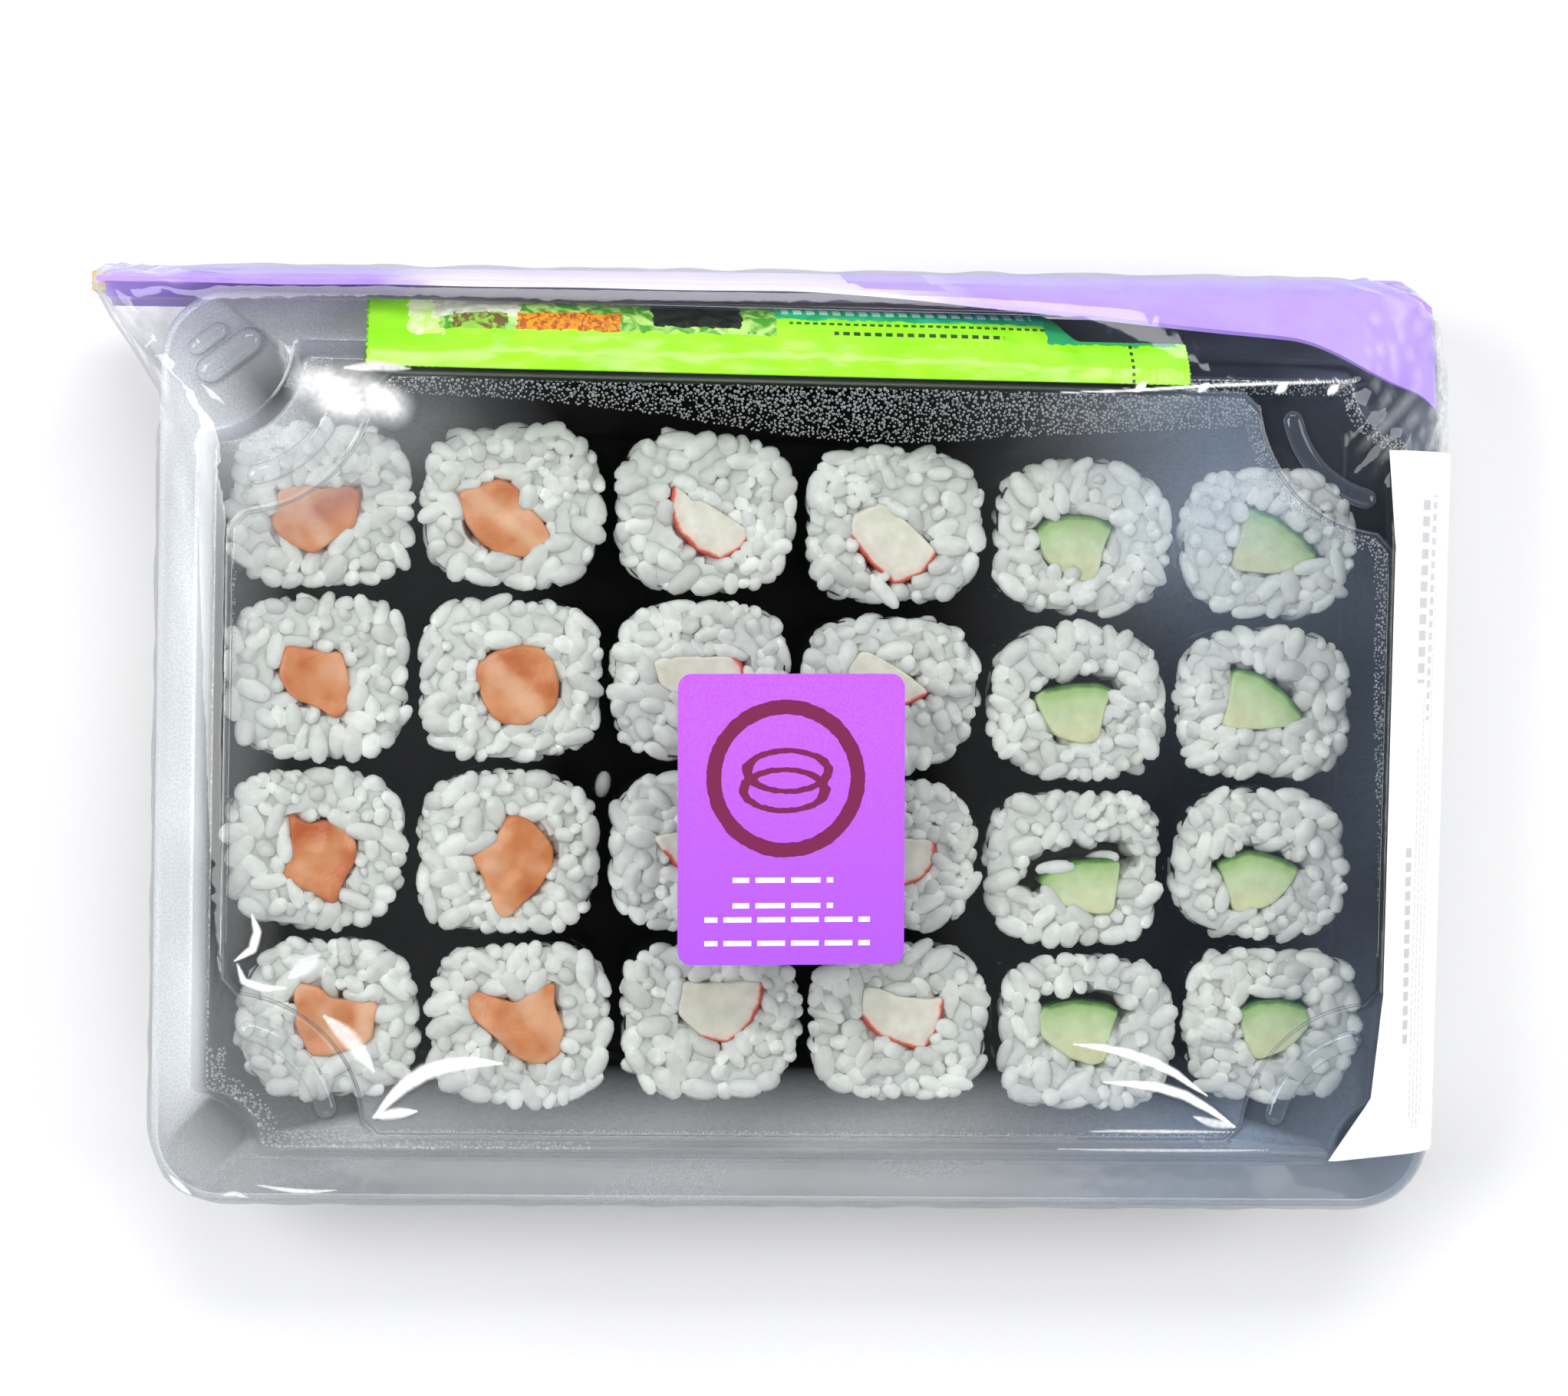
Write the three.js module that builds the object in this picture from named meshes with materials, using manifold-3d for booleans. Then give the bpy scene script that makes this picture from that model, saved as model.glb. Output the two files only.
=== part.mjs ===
// A shut takeaway tray of small sushi rolls, lying flat: a black tray, a clear snap lid with a raised panel
// and notched corners, 24 rolls standing on end in 6 columns of 4, and a stretched film that holds a soy
// sachet and a paper sleeve of chopsticks along the back edge. Two labels are stuck on the film.
// Millimetres. +X runs along the long side, +Y to the back, +Z up. The origin is the foot's middle.
import * as THREE from "three";
import { ConvexGeometry } from "three/addons/geometries/ConvexGeometry.js";
import { mergeVertices } from "three/addons/utils/BufferGeometryUtils.js";
import Module from "manifold-3d";

const { lerp, smoothstep } = THREE.MathUtils;
const wasm = await Module();
wasm.setup();

// ---------------------------------------------------------------- driving dimensions

const GAP = 0.35; // clear space between pieces that touch
const QUARTER_TURN = Math.PI / 2;

// Outlines, as half lengths from the middle. round is a convex corner's radius, notch a concave one's, and
// tip is how far a notch's sharp ends are cut back.
const RIM = { x: 103, y: 72.1, round: 11 };
const SHOULDER = { x: 94, y: 61.8, notch: 8.9, snapNotch: 13.6, tip: 0.9 };
const PANEL = { x: 91, y: 59, notch: 21.8, tip: 2.4 };
const TRAY_MOUTH = { x: 97.4, y: 65.6, round: 12 };
const TRAY_FLOOR = { x: 94, y: 60, round: 9 };
const TRAY_FOOT = { x: 85, y: 51, round: 8 };

// Heights above the surface that the tray stands on.
const BORDER_Z = 1.3; // underside of the tray's border, round its foot
const TRAY_WALL = 0.9;
const TRAY_RIM_Z = 28.2; // top of the tray's flange
const LID_WALL = 0.7;
const LID_RIM_Z = 29.8; // top of the lid's flange
const SKIRT_Z = 26; // lower edge of the lid's skirt
const SHOULDER_Z = 41.8;
const PANEL_Z = 43.6;
const WALL_DRAFT = 3; // how far the lid's side wall leans out at its foot
const EDGE_ROUND = 0.8;

const CORNER_STEPS = 7; // stretches of outline in each corner

// Rolls.
const COLUMN_PITCH = 30.5;
const FIRST_COLUMN_X = -77.9;
const ROWS = 4;
const FRONT_ROW_SHIFT = 2.6; // the front row stands this far to the right of the others
// Each column's rows start at the front. A filling is [x, y, turn], off its roll's middle and in radians.
const COLUMNS = [
  {
    kind: "salmon",
    frontRowY: -43.1,
    rowPitch: 27.2,
    fillings: [[0.8, 0.6, -0.1], [0.1, -1.1, 0.2], [-0.6, -0.8, 0.1], [-0.8, -1.8, 0.3]],
  },
  {
    kind: "salmon",
    frontRowY: -43.6,
    rowPitch: 27.6,
    fillings: [[-1.5, 0.6, 0], [0.8, -2.4, 0.6], [0.6, -0.8, 0.2], [-0.9, -1.8, -0.4]],
  },
  {
    kind: "crabstick",
    frontRowY: -42.5,
    rowPitch: 27.1,
    fillings: [[1.3, 1.1, 0.5], [-2, -0.4, 0.8], [-0.6, 1, 0.2], [1.6, -2.3, -0.2]],
  },
  {
    kind: "crabstick",
    frontRowY: -42.5,
    rowPitch: 26.6,
    fillings: [[1.1, 0.4, 0], [3.4, -0.6, 0.9], [0.9, 1, 0.1], [0.6, -2.4, -0.6]],
  },
  {
    kind: "cucumber",
    frontRowY: -44,
    rowPitch: 26.7,
    fillings: [[0, 0, 0], [1, -1.4, 0.1], [-1, -0.9, 0], [-1.3, -1.8, 0]],
  },
  {
    kind: "cucumber",
    frontRowY: -42.4,
    rowPitch: 26.1,
    fillings: [[0.5, -0.8, 0], [0, -2.4, 0], [-0.5, 0.6, -0.5], [1.1, 0.1, -0.4]],
  },
];
const ROLL_TOP_Z = 30;
const ROLL_STEPS = 22; // facets round a roll
const ROLL_CLEARANCE = 0.35; // from a roll's widest grain to the middle line between two rolls
// A roll's outline: the exponent of its superellipse and how much that varies, and the shares that it is cut
// back and waves by, in three and in five slow waves round it.
const ROLL_OUTLINE = { squareness: 3.3, varies: 0.5, cutBack: 0.022, three: 0.012, five: 0.01 };
const ROLL_TOP = { height: 0.45, slope: 0.02 }; // how much the top's height and slope vary
const GRAIN_RISE = 0.4; // how far a grain stands out of the rice
// A roll's section, up the seaweed and over the rice to the filling. share runs from the filling's edge, 0, to
// the roll's, 1, and back sets in from there. depth is under the top. rise and out let the grains stand out.
const ROLL_SECTION = [
  { share: 1, back: 0.7 },
  { share: 1, back: 0.7, depth: 4.2 },
  { share: 1, back: 0.25, depth: 2.7, out: 0.5 },
  { share: 1, back: 0.6, depth: 0.9, rise: 0.7 },
  { share: 0.7, back: 0, depth: 0.1, rise: 1 },
  { share: 0.37, back: 0, depth: 0, rise: 1 },
  { share: 0, back: -0.7, depth: 0.2, rise: 0.7 },
  { share: 0, back: 0, depth: 0.7 },
];

// Lid ribs and snap bars.
const RIB = { radius: 16.3, width: 3.4, height: 1.2, from: 0.12, to: 0.88, steps: 8 };
const SNAP_BARS = [
  { x: -92.4, y: 61.9, length: 12, width: 4.6, height: 2 },
  { x: -95.8, y: 64.4, length: 7, width: 3, height: 1.4 },
];
const SNAP_ANGLE = 0.66; // radians from the long side

// Chopsticks, as the middle of their two ends, and the paper sleeve round them. Above the rim the sleeve is
// a flap, which leans in over the rim, more and more to the right. Below the sticks it is a short fin.
const STICKS = {
  left: { x: -114.5, y: 73.5, z: 19 },
  right: { x: 95, y: 76.5, z: 20.5 },
  halfHeight: 4.2,
  halfThick: 1.6,
};
const SLEEVE = { left: -112.2, right: 99.7, paper: 0.4, wall: 0.45, steps: 16, bend: 2.4 };
const GROOVE = { width: 0.7, depth: 0.6 };
const FIN = { length: 5.5, lean: 0.55 };
const FLAP = { kneeY: 73.3, kneeZ: 31, length: 10, extra: 7.4, twist: 75 };
const FLAP_LEAN = { left: 0.08, even: 0.06, right: 1.15, power: 2.6 };

// Sachet: half thickness and place of its middle line across, from its inner to its outer edge.
const SACHET = { left: -71, right: 58.5, seal: 8.5, neck: 40, narrowing: 0.45, teeth: 0.7, flatHalf: 0.3 };
const SACHET_LINE = [
  { y: 60.4, z: 43, half: 0.3 },
  { y: 62.9, z: 42.2, half: 0.6 },
  { y: 65.3, z: 39.6, half: 1.9 },
  { y: 67.5, z: 37.1, half: 2.5 },
  { y: 69.6, z: 34.4, half: 1.9 },
  { y: 71.2, z: 32, half: 0.4 },
];
const SACHET_NORMAL = { y: 0.68, z: 0.73 };

// Labels on the film.
const SQUARE_LABEL = { x: -3.5, y: -8.9, halfX: 17.8, halfY: 22.8, round: 2.2, turn: 0.018 };
const PRICE_LABEL = { innerX: 91.4, backY: 51, frontY: -62.5, lowerZ: 5, cornerX: 84.6, cornerY: -52.4 };

// Film, and what is stuck on it, as distances out from what the film holds.
const FILM = { inside: 0.35, outside: 0.75 };
const LABEL = { inside: 1.1, outside: 1.45 };
const CORNER_FILM = { x: -55, y: 47 }; // the stretch over the sleeve's left end starts here
const FILM_OPENING = { x: 87.5, y: 53.5, round: 8 };

const COLOURS = {
  tray: { color: 0x1b1b1d, roughness: 0.35 },
  lid: { color: 0xdfe6ea, roughness: 0.08, opacity: 0.25 },
  film: { color: 0xf2f5f7, roughness: 0.12, opacity: 0.15 },
  rice: { color: 0xdcddd6, roughness: 0.45 },
  sachet: { color: 0xb6f03a, roughness: 0.3 },
  sleeve: { color: 0xb18cf2, roughness: 0.6 },
  wood: { color: 0xd8b06a, roughness: 0.7 },
  squareLabel: { color: 0xb766f0, roughness: 0.5 },
  priceLabel: { color: 0xf6f6f4, roughness: 0.6 },
};

// ---------------------------------------------------------------- solids from triangles

// A closed mesh as a solid that can be joined and cut.
function solid(geometry) {
  const bare = geometry.index ? geometry.toNonIndexed() : geometry.clone();
  bare.deleteAttribute("normal");
  bare.deleteAttribute("uv");
  const merged = mergeVertices(bare, 1e-4);
  const triVerts = new Uint32Array(merged.index.array);
  const vertProperties = merged.attributes.position.array;
  return new wasm.Manifold(new wasm.Mesh({ numProp: 3, vertProperties, triVerts }));
}

// The triangles of a solid.
function geometryOf(body) {
  const mesh = body.getMesh();
  const geometry = new THREE.BufferGeometry();
  geometry.setAttribute("position", new THREE.BufferAttribute(mesh.vertProperties, 3));
  geometry.setIndex(new THREE.BufferAttribute(mesh.triVerts, 1));
  return geometry;
}

// A closed skin through rings of points, each ring with as many points, with caps on the first and last. A
// cap fills a star-shaped ring from its middle, or a long thin one in steps between its two sides.
function loft(rings, thin = false) {
  const count = rings[0].length;
  const points = rings.flat();
  const faces = [];
  for (let r = 0; r + 1 < rings.length; r++) {
    for (let i = 0; i < count; i++) {
      const a = r * count + i;
      const b = r * count + ((i + 1) % count);
      faces.push(a, b, b + count, a, b + count, a + count);
    }
  }
  const capOf = thin ? thinCap : starCap;
  faces.push(...capOf(points, 0, count).reverse());
  faces.push(...capOf(points, count * (rings.length - 1), count));
  return facingOut(points, faces);
}

function starCap(points, first, count) {
  const ring = points.slice(first, first + count);
  points.push([0, 1, 2].map((axis) => ring.reduce((sum, p) => sum + p[axis], 0) / count));
  return range(count).flatMap((i) => [first + i, first + ((i + 1) % count), points.length - 1]);
}

function thinCap(points, first, count) {
  return range(count / 2 - 1).flatMap((i) => {
    const [a, b, c, d] = [i, i + 1, count - 2 - i, count - 1 - i].map((k) => first + k);
    return [a, b, c, a, c, d];
  });
}

// A closed geometry, turned the right way where its faces point in.
function facingOut(points, faces) {
  const inward = solid(indexed(points, faces)).volume() < 0;
  return indexed(points, inward ? faces.reverse() : faces);
}

function indexed(points, faces) {
  const geometry = new THREE.BufferGeometry();
  geometry.setAttribute("position", new THREE.Float32BufferAttribute(points.flat(), 3));
  geometry.setIndex(faces);
  return geometry;
}

// A stretch between two heights under a flat outline.
function prism(outline, low, high) {
  return solid(loft([low, high].map((z) => outline.map(([x, y]) => [x, y, z]))));
}

// ---------------------------------------------------------------- outlines

const CORNERS = [
  { sx: 1, sy: 1 },
  { sx: -1, sy: 1, snap: true },
  { sx: -1, sy: -1 },
  { sx: 1, sy: -1 },
];

// A rectangle's outline, anticlockwise, with rounded or notched corners, moved in by a distance.
function outline(shape, inset = 0) {
  return CORNERS.flatMap((corner, i) => {
    const x = shape.x - inset;
    const y = shape.y - inset;
    return shape.round === undefined
      ? notchedCorner(corner, i, x, y, notchRadius(shape, corner, inset), shape.tip)
      : roundedCorner(corner, i, x, y, Math.max(shape.round - inset, 0.5));
  });
}

// A notch keeps its middle as far from its neighbour's as the sides are, when the outline moves in.
function notchRadius(shape, corner, inset) {
  const radius = corner.snap && shape.snapNotch ? shape.snapNotch : shape.notch;
  return radius - inset * (Math.SQRT2 - 1);
}

function roundedCorner({ sx, sy }, i, x, y, radius) {
  return range(CORNER_STEPS + 1).map((k) => {
    const angle = QUARTER_TURN * (i + k / CORNER_STEPS);
    return [sx * (x - radius) + radius * Math.cos(angle), sy * (y - radius) + radius * Math.sin(angle)];
  });
}

function notchedCorner({ sx, sy }, i, x, y, radius, tip) {
  const along = radius + tip;
  const sideTip = [sx * x, sy * (y - along)];
  const endTip = [sx * (x - along), sy * y];
  const cut = tip / radius / QUARTER_TURN;
  const arc = range(CORNER_STEPS - 1).map((k) => {
    const share = cut + ((1 - 2 * cut) * k) / (CORNER_STEPS - 2);
    const angle = QUARTER_TURN * (i + 3 - share);
    return [sx * x + radius * Math.cos(angle), sy * y + radius * Math.sin(angle)];
  });
  return sx * sy > 0 ? [sideTip, ...arc, endTip] : [endTip, ...arc, sideTip];
}

function range(count) {
  return Array.from({ length: count }, (_, i) => i);
}

const atHeight = (points, z) => points.map(([x, y]) => [x, y, z]);

// ---------------------------------------------------------------- tray and lid

// The tray's shell: a flat foot, a raised border round it, leaning walls and a flange.
function tray() {
  const outside = [
    atHeight(outline(TRAY_FOOT), 0),
    atHeight(outline(TRAY_FOOT, -1), BORDER_Z),
    atHeight(outline(TRAY_FLOOR, 1), BORDER_Z),
    atHeight(outline(TRAY_FLOOR, -TRAY_WALL), BORDER_Z + 3),
    atHeight(outline(TRAY_MOUTH, -TRAY_WALL), TRAY_RIM_Z - TRAY_WALL),
    atHeight(outline(RIM, LID_WALL + GAP), TRAY_RIM_Z - TRAY_WALL),
    atHeight(outline(RIM, LID_WALL + GAP), TRAY_RIM_Z),
  ];
  const hollow = [
    atHeight(outline(TRAY_FOOT, 1), TRAY_WALL),
    atHeight(outline(TRAY_FOOT), BORDER_Z + TRAY_WALL),
    atHeight(outline(TRAY_FLOOR, 1.2), BORDER_Z + TRAY_WALL),
    atHeight(outline(TRAY_FLOOR), BORDER_Z + 3.4),
    atHeight(outline(TRAY_MOUTH), TRAY_RIM_Z),
    atHeight(outline(TRAY_MOUTH), TRAY_RIM_Z + 1),
  ];
  return solid(loft(outside)).subtract(solid(loft(hollow)));
}

// The lid's skin, moved in by a distance: skirt, flange, leaning wall, notched shoulder and raised panel.
function lidSkin(inset, bottom) {
  return solid(
    loft([
      atHeight(outline(RIM, inset), bottom),
      atHeight(outline(RIM, inset), LID_RIM_Z - EDGE_ROUND - inset),
      atHeight(outline(RIM, inset + EDGE_ROUND), LID_RIM_Z - inset),
      atHeight(outline(SHOULDER, inset - WALL_DRAFT), LID_RIM_Z - inset),
      atHeight(outline(SHOULDER, inset), SHOULDER_Z - EDGE_ROUND / 2 - inset),
      atHeight(outline(SHOULDER, inset + EDGE_ROUND / 2), SHOULDER_Z - inset),
      atHeight(outline(PANEL, inset - EDGE_ROUND), SHOULDER_Z - inset),
      atHeight(outline(PANEL, inset), PANEL_Z - EDGE_ROUND / 2 - inset),
      atHeight(outline(PANEL, inset + EDGE_ROUND / 2), PANEL_Z - inset),
    ]),
  );
}

// A bar with round ends, standing up from a height along a line of points.
function bar(line, width, low, high) {
  const side = (sign) =>
    line.map((p, i) => {
      const before = line[Math.max(i - 1, 0)];
      const after = line[Math.min(i + 1, line.length - 1)];
      const along = new THREE.Vector2(after[0] - before[0], after[1] - before[1]).normalize();
      return [p[0] + (sign * along.y * width) / 2, p[1] - (sign * along.x * width) / 2];
    });
  const end = (p, next) => {
    const away = new THREE.Vector2(p[0] - next[0], p[1] - next[1]).setLength(width * 0.45);
    return [p[0] + away.x, p[1] + away.y];
  };
  const last = line.length - 1;
  const ends = [end(line[last], line[last - 1]), end(line[0], line[1])];
  return prism([...side(1), ends[0], ...side(-1).reverse(), ends[1]], low, high);
}

// The curved rib on the shoulder inside each of the panel's notches.
function ribs() {
  return CORNERS.map(({ sx, sy }) => {
    const line = range(RIB.steps + 1).map((k) => {
      const angle = QUARTER_TURN * (RIB.from + ((RIB.to - RIB.from) * k) / RIB.steps);
      const [dx, dy] = [RIB.radius * Math.sin(angle), RIB.radius * Math.cos(angle)];
      return [sx * (PANEL.x - dx), sy * (PANEL.y - dy)];
    });
    return bar(line, RIB.width, SHOULDER_Z - LID_WALL / 2, SHOULDER_Z + RIB.height);
  });
}

// The diagonal bars on the flange in the corner that snaps shut.
function snapBars() {
  return SNAP_BARS.map(({ x, y, length, width, height }) => {
    const dx = (Math.cos(SNAP_ANGLE) * length) / 2;
    const dy = (Math.sin(SNAP_ANGLE) * length) / 2;
    const line = [
      [x - dx, y - dy],
      [x + dx, y + dy],
    ];
    return bar(line, width, LID_RIM_Z - LID_WALL / 2, LID_RIM_Z + height);
  });
}

function lid() {
  const shell = lidSkin(0, SKIRT_Z).subtract(lidSkin(LID_WALL, SKIRT_Z - 1));
  return [...ribs(), ...snapBars()].reduce((whole, piece) => whole.add(piece), shell);
}

// ---------------------------------------------------------------- rolls

// A number from 0 to 1 that depends only on its seeds.
function chance(...seeds) {
  const mixed = seeds.reduce((sum, seed, i) => sum + (seed + 1) * (12.9898 + 65.233 * i), 3.7);
  const wave = Math.sin(mixed) * 43758.5453;
  return wave - Math.floor(wave);
}

const spread = (size, ...seeds) => size * (2 * chance(...seeds) - 1);

// Fillings, as polygons round the roll's middle: a chunk of salmon, a slice of crab stick, a cucumber wedge.
const FILLINGS = {
  salmon: [[-6.4, 3.4], [-1.5, 5.8], [5.4, 4.6], [6.8, -1.2], [2.6, -6.6], [-4.0, -4.6]],
  crabstick: [[-6.6, 4.4], [4.8, 4.0], [7.2, 0.2], [4.0, -5.4], [-2.6, -6.4], [-6.8, -1.4]],
  cucumber: [[-6.8, 2.6], [-2.4, 5.6], [3.4, 5.4], [7.0, 2.2], [3.6, -5.4], [-3.6, -5.6]],
};

// How far a polygon reaches from its middle in a direction.
function reach(polygon, angle) {
  const dir = [Math.cos(angle), Math.sin(angle)];
  const hits = polygon.map(([x1, y1], i) => {
    const [x2, y2] = polygon[(i + 1) % polygon.length];
    const across = dir[0] * (y2 - y1) - dir[1] * (x2 - x1);
    const out = (x1 * (y2 - y1) - y1 * (x2 - x1)) / across;
    const along = (x1 * dir[1] - y1 * dir[0]) / across;
    return out > 0 && along >= -1e-9 && along <= 1 + 1e-9 ? out : Infinity;
  });
  return Math.min(...hits);
}

// How far a roll's own outline reaches in a direction: a superellipse with a slow, uneven wave.
function rollReach(halfX, halfY, angle, seed) {
  const power = ROLL_OUTLINE.squareness + spread(ROLL_OUTLINE.varies, seed, 1);
  const sides = [Math.cos(angle) / halfX, Math.sin(angle) / halfY];
  const even = sides.reduce((sum, side) => sum + Math.abs(side) ** power, 0) ** (-1 / power);
  const three = ROLL_OUTLINE.three * Math.sin(3 * angle + 6 * chance(seed, 2));
  const five = ROLL_OUTLINE.five * Math.sin(5 * angle + 6 * chance(seed, 3));
  return even * (1 - ROLL_OUTLINE.cutBack + three + five);
}

// One roll on end: filling in the middle, grains round it and over the edge, seaweed down the side.
function roll(kind, [offX, offY, turn], x, y, halfX, halfY, seed) {
  const angles = range(ROLL_STEPS).map((i) => (4 * QUARTER_TURN * i) / ROLL_STEPS);
  const placed = FILLINGS[kind].map(([px, py]) => [
    offX + px * Math.cos(turn) - py * Math.sin(turn),
    offY + px * Math.sin(turn) + py * Math.cos(turn),
  ]);
  const filling = angles.map((angle) => reach(placed, angle));
  const edge = angles.map((angle) => rollReach(halfX, halfY, angle, seed));
  const top = ROLL_TOP_Z + spread(ROLL_TOP.height, seed, 6);
  const slope = [7, 8].map((draw) => spread(ROLL_TOP.slope, seed, draw));
  const foot = BORDER_Z + TRAY_WALL + GAP;
  const rings = ROLL_SECTION.map(({ share, back, depth, rise = 0, out = 0 }, r) =>
    angles.map((angle, i) => {
      const grain = ((i + r) % 2 ? 1 : -1) * GRAIN_RISE * (0.75 + spread(0.25, seed, r, i));
      const radius = lerp(filling[i], edge[i], share) - back + Math.min(out * grain, 0);
      const [px, py] = [radius * Math.cos(angle), radius * Math.sin(angle)];
      const height = depth === undefined ? foot : top - depth + rise * grain + slope[0] * px + slope[1] * py;
      return [x + px, y + py, height];
    }),
  );
  return loft(rings);
}

function rollMeshes() {
  const counts = {};
  return COLUMNS.flatMap(({ kind, frontRowY, rowPitch, fillings }, column) =>
    range(ROWS).map((row) => {
      counts[kind] = (counts[kind] ?? 0) + 1;
      const halfX = COLUMN_PITCH / 2 - ROLL_CLEARANCE;
      const halfY = rowPitch / 2 - ROLL_CLEARANCE;
      const x = FIRST_COLUMN_X + column * COLUMN_PITCH + (row ? 0 : FRONT_ROW_SHIFT);
      const y = frontRowY + row * rowPitch;
      const shape = roll(kind, fillings[row], x, y, halfX, halfY, column * ROWS + row);
      return mesh(`roll_${kind}_${counts[kind]}`, shape, "rice");
    }),
  );
}

// ---------------------------------------------------------------- chopsticks and sleeve

// A place on the sticks' straight middle line, or past its ends.
function onSticks(x) {
  const { left, right } = STICKS;
  const share = (x - left.x) / (right.x - left.x);
  return { y: lerp(left.y, right.y, share), z: lerp(left.z, right.z, share) };
}

// The sleeve's middle line bends in past the ends of the sticks.
function sleeveY(x) {
  const past = Math.max(x - STICKS.right.x, 0) / (SLEEVE.right - STICKS.right.x);
  return onSticks(x).y - SLEEVE.bend * past ** 2;
}

// How far the flap leans in, in radians: almost upright at the left, laid over the rim's corner at the right.
function flapLean(x) {
  const share = (x - SLEEVE.left) / (SLEEVE.right - SLEEVE.left);
  const { left, even, right, power } = FLAP_LEAN;
  return left + even * share + right * Math.max(2 * share - 1, 0) ** power;
}

// The pocket round the sticks flattens past their ends.
const pocketShare = (x) => 1 - 0.7 * smoothstep(x, STICKS.right.x + 1, SLEEVE.right);

// The sleeve's section at x, from the fin up its inside and down its outside: fin, pocket and flap.
function sleeveSection(x, grow = 0) {
  const y = sleeveY(x);
  const { z } = onSticks(x);
  const thick = (STICKS.halfThick + GAP + SLEEVE.wall) * pocketShare(x) + grow;
  const tall = STICKS.halfHeight + GAP;
  const paper = SLEEVE.paper + grow;
  const finY = y - Math.sin(FIN.lean) * FIN.length;
  const finZ = z - tall - Math.cos(FIN.lean) * FIN.length - grow;
  const kneeY = Math.max(y, FLAP.kneeY);
  const lean = flapLean(x);
  const flap = FLAP.length + FLAP.extra * smoothstep(x, FLAP.twist, SLEEVE.right) + grow;
  const tipY = kneeY - Math.sin(lean) * flap;
  const tipZ = FLAP.kneeZ + Math.cos(lean) * flap;
  const across = { y: Math.cos(lean) * paper, z: Math.sin(lean) * paper };
  return [
    [x, finY - paper, finZ],
    [x, y - thick, z - tall],
    [x, y - thick, z + tall * 0.8],
    [x, kneeY - paper, SKIRT_Z - GAP],
    [x, kneeY - across.y, FLAP.kneeZ - across.z],
    [x, tipY - across.y, tipZ - across.z],
    [x, tipY + across.y, tipZ + across.z],
    [x, kneeY + across.y, FLAP.kneeZ + across.z],
    [x, kneeY + paper, SKIRT_Z],
    [x, y + thick, z + tall],
    [x, y + thick, z - tall],
    [x, finY + paper, finZ],
  ];
}

const sleeveStations = [
  ...range(SLEEVE.steps + 1).map((k) => lerp(SLEEVE.left, STICKS.right.x + 1.5, k / SLEEVE.steps)),
  SLEEVE.right,
];

// A box section along the sticks' line, between two places.
function stickBox(left, right, halfThick, halfHeight) {
  const section = (x) => {
    const { y, z } = onSticks(x);
    return [
      [x, y - halfThick, z - halfHeight],
      [x, y - halfThick, z + halfHeight],
      [x, y + halfThick, z + halfHeight],
      [x, y + halfThick, z - halfHeight],
    ];
  };
  return [section(left), section(right)];
}

// The two sticks are one piece of wood with a groove down each side, as they are before they are split.
function chopsticks() {
  const { left, right, halfHeight, halfThick } = STICKS;
  const middle = { y: (left.y + right.y) / 2, z: (left.z + right.z) / 2 };
  const grooves = [-1, 1].map((side) => {
    const cut = new THREE.BoxGeometry(right.x - left.x + 10, GROOVE.depth * 2, GROOVE.width);
    cut.rotateY(-Math.atan2(right.z - left.z, right.x - left.x));
    cut.rotateZ(Math.atan2(right.y - left.y, right.x - left.x));
    cut.translate((left.x + right.x) / 2, middle.y + side * halfThick, middle.z);
    return solid(cut);
  });
  const whole = solid(loft(stickBox(left.x, right.x, halfThick, halfHeight), true));
  return grooves.reduce((wood, cut) => wood.subtract(cut), whole);
}

function sleeve() {
  const start = STICKS.left.x - 5;
  const end = STICKS.right.x + 1;
  const pocket = stickBox(start, end, STICKS.halfThick + GAP, STICKS.halfHeight + GAP * 0.9);
  const paper = loft(sleeveStations.map((x) => sleeveSection(x)), true);
  return solid(paper).subtract(solid(loft(pocket, true)));
}

// ---------------------------------------------------------------- sachet

// The sachet's section at x: full in the middle, flat at its seals, and narrow in the neck at its right end.
function sachetSection(x, grow = 0) {
  const { left, right, seal, neck, narrowing, teeth, flatHalf } = SACHET;
  const fromSeal = (edge) => smoothstep(Math.abs(x - edge), seal * 0.9, seal + 12);
  const full = Math.min(fromSeal(left), fromSeal(right), 1 - smoothstep(x, neck - 16, neck + 2));
  const narrow = smoothstep(x, neck - 8, neck + 4);
  const last = SACHET_LINE.length - 1;
  const across = SACHET_LINE.map((p, i) => {
    const at = i * (1 - narrowing * narrow);
    const before = SACHET_LINE[Math.floor(at)];
    const after = SACHET_LINE[Math.min(Math.floor(at) + 1, last)];
    const mix = at - Math.floor(at);
    const half = lerp(flatHalf, p.half, full) + grow;
    const tooth = x === left || x === right ? Math.sign(x) * teeth * (i % 2) : 0;
    return { x: x - tooth, y: lerp(before.y, after.y, mix), z: lerp(before.z, after.z, mix), half };
  });
  const side = (sign) =>
    across.map((p) => [p.x, p.y + sign * p.half * SACHET_NORMAL.y, p.z + sign * p.half * SACHET_NORMAL.z]);
  return [...side(1), ...side(-1).reverse()];
}

const sachetStations = [
  SACHET.left,
  SACHET.left + SACHET.seal,
  SACHET.left + SACHET.seal + 6,
  SACHET.left + SACHET.seal + 13,
  -20,
  0,
  SACHET.neck - 20,
  SACHET.neck - 11,
  SACHET.neck - 4,
  SACHET.neck + 4,
  SACHET.right - 5,
  SACHET.right,
];

const sachet = () => loft(sachetStations.map((x) => sachetSection(x)), true);

// ---------------------------------------------------------------- film and labels

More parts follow.
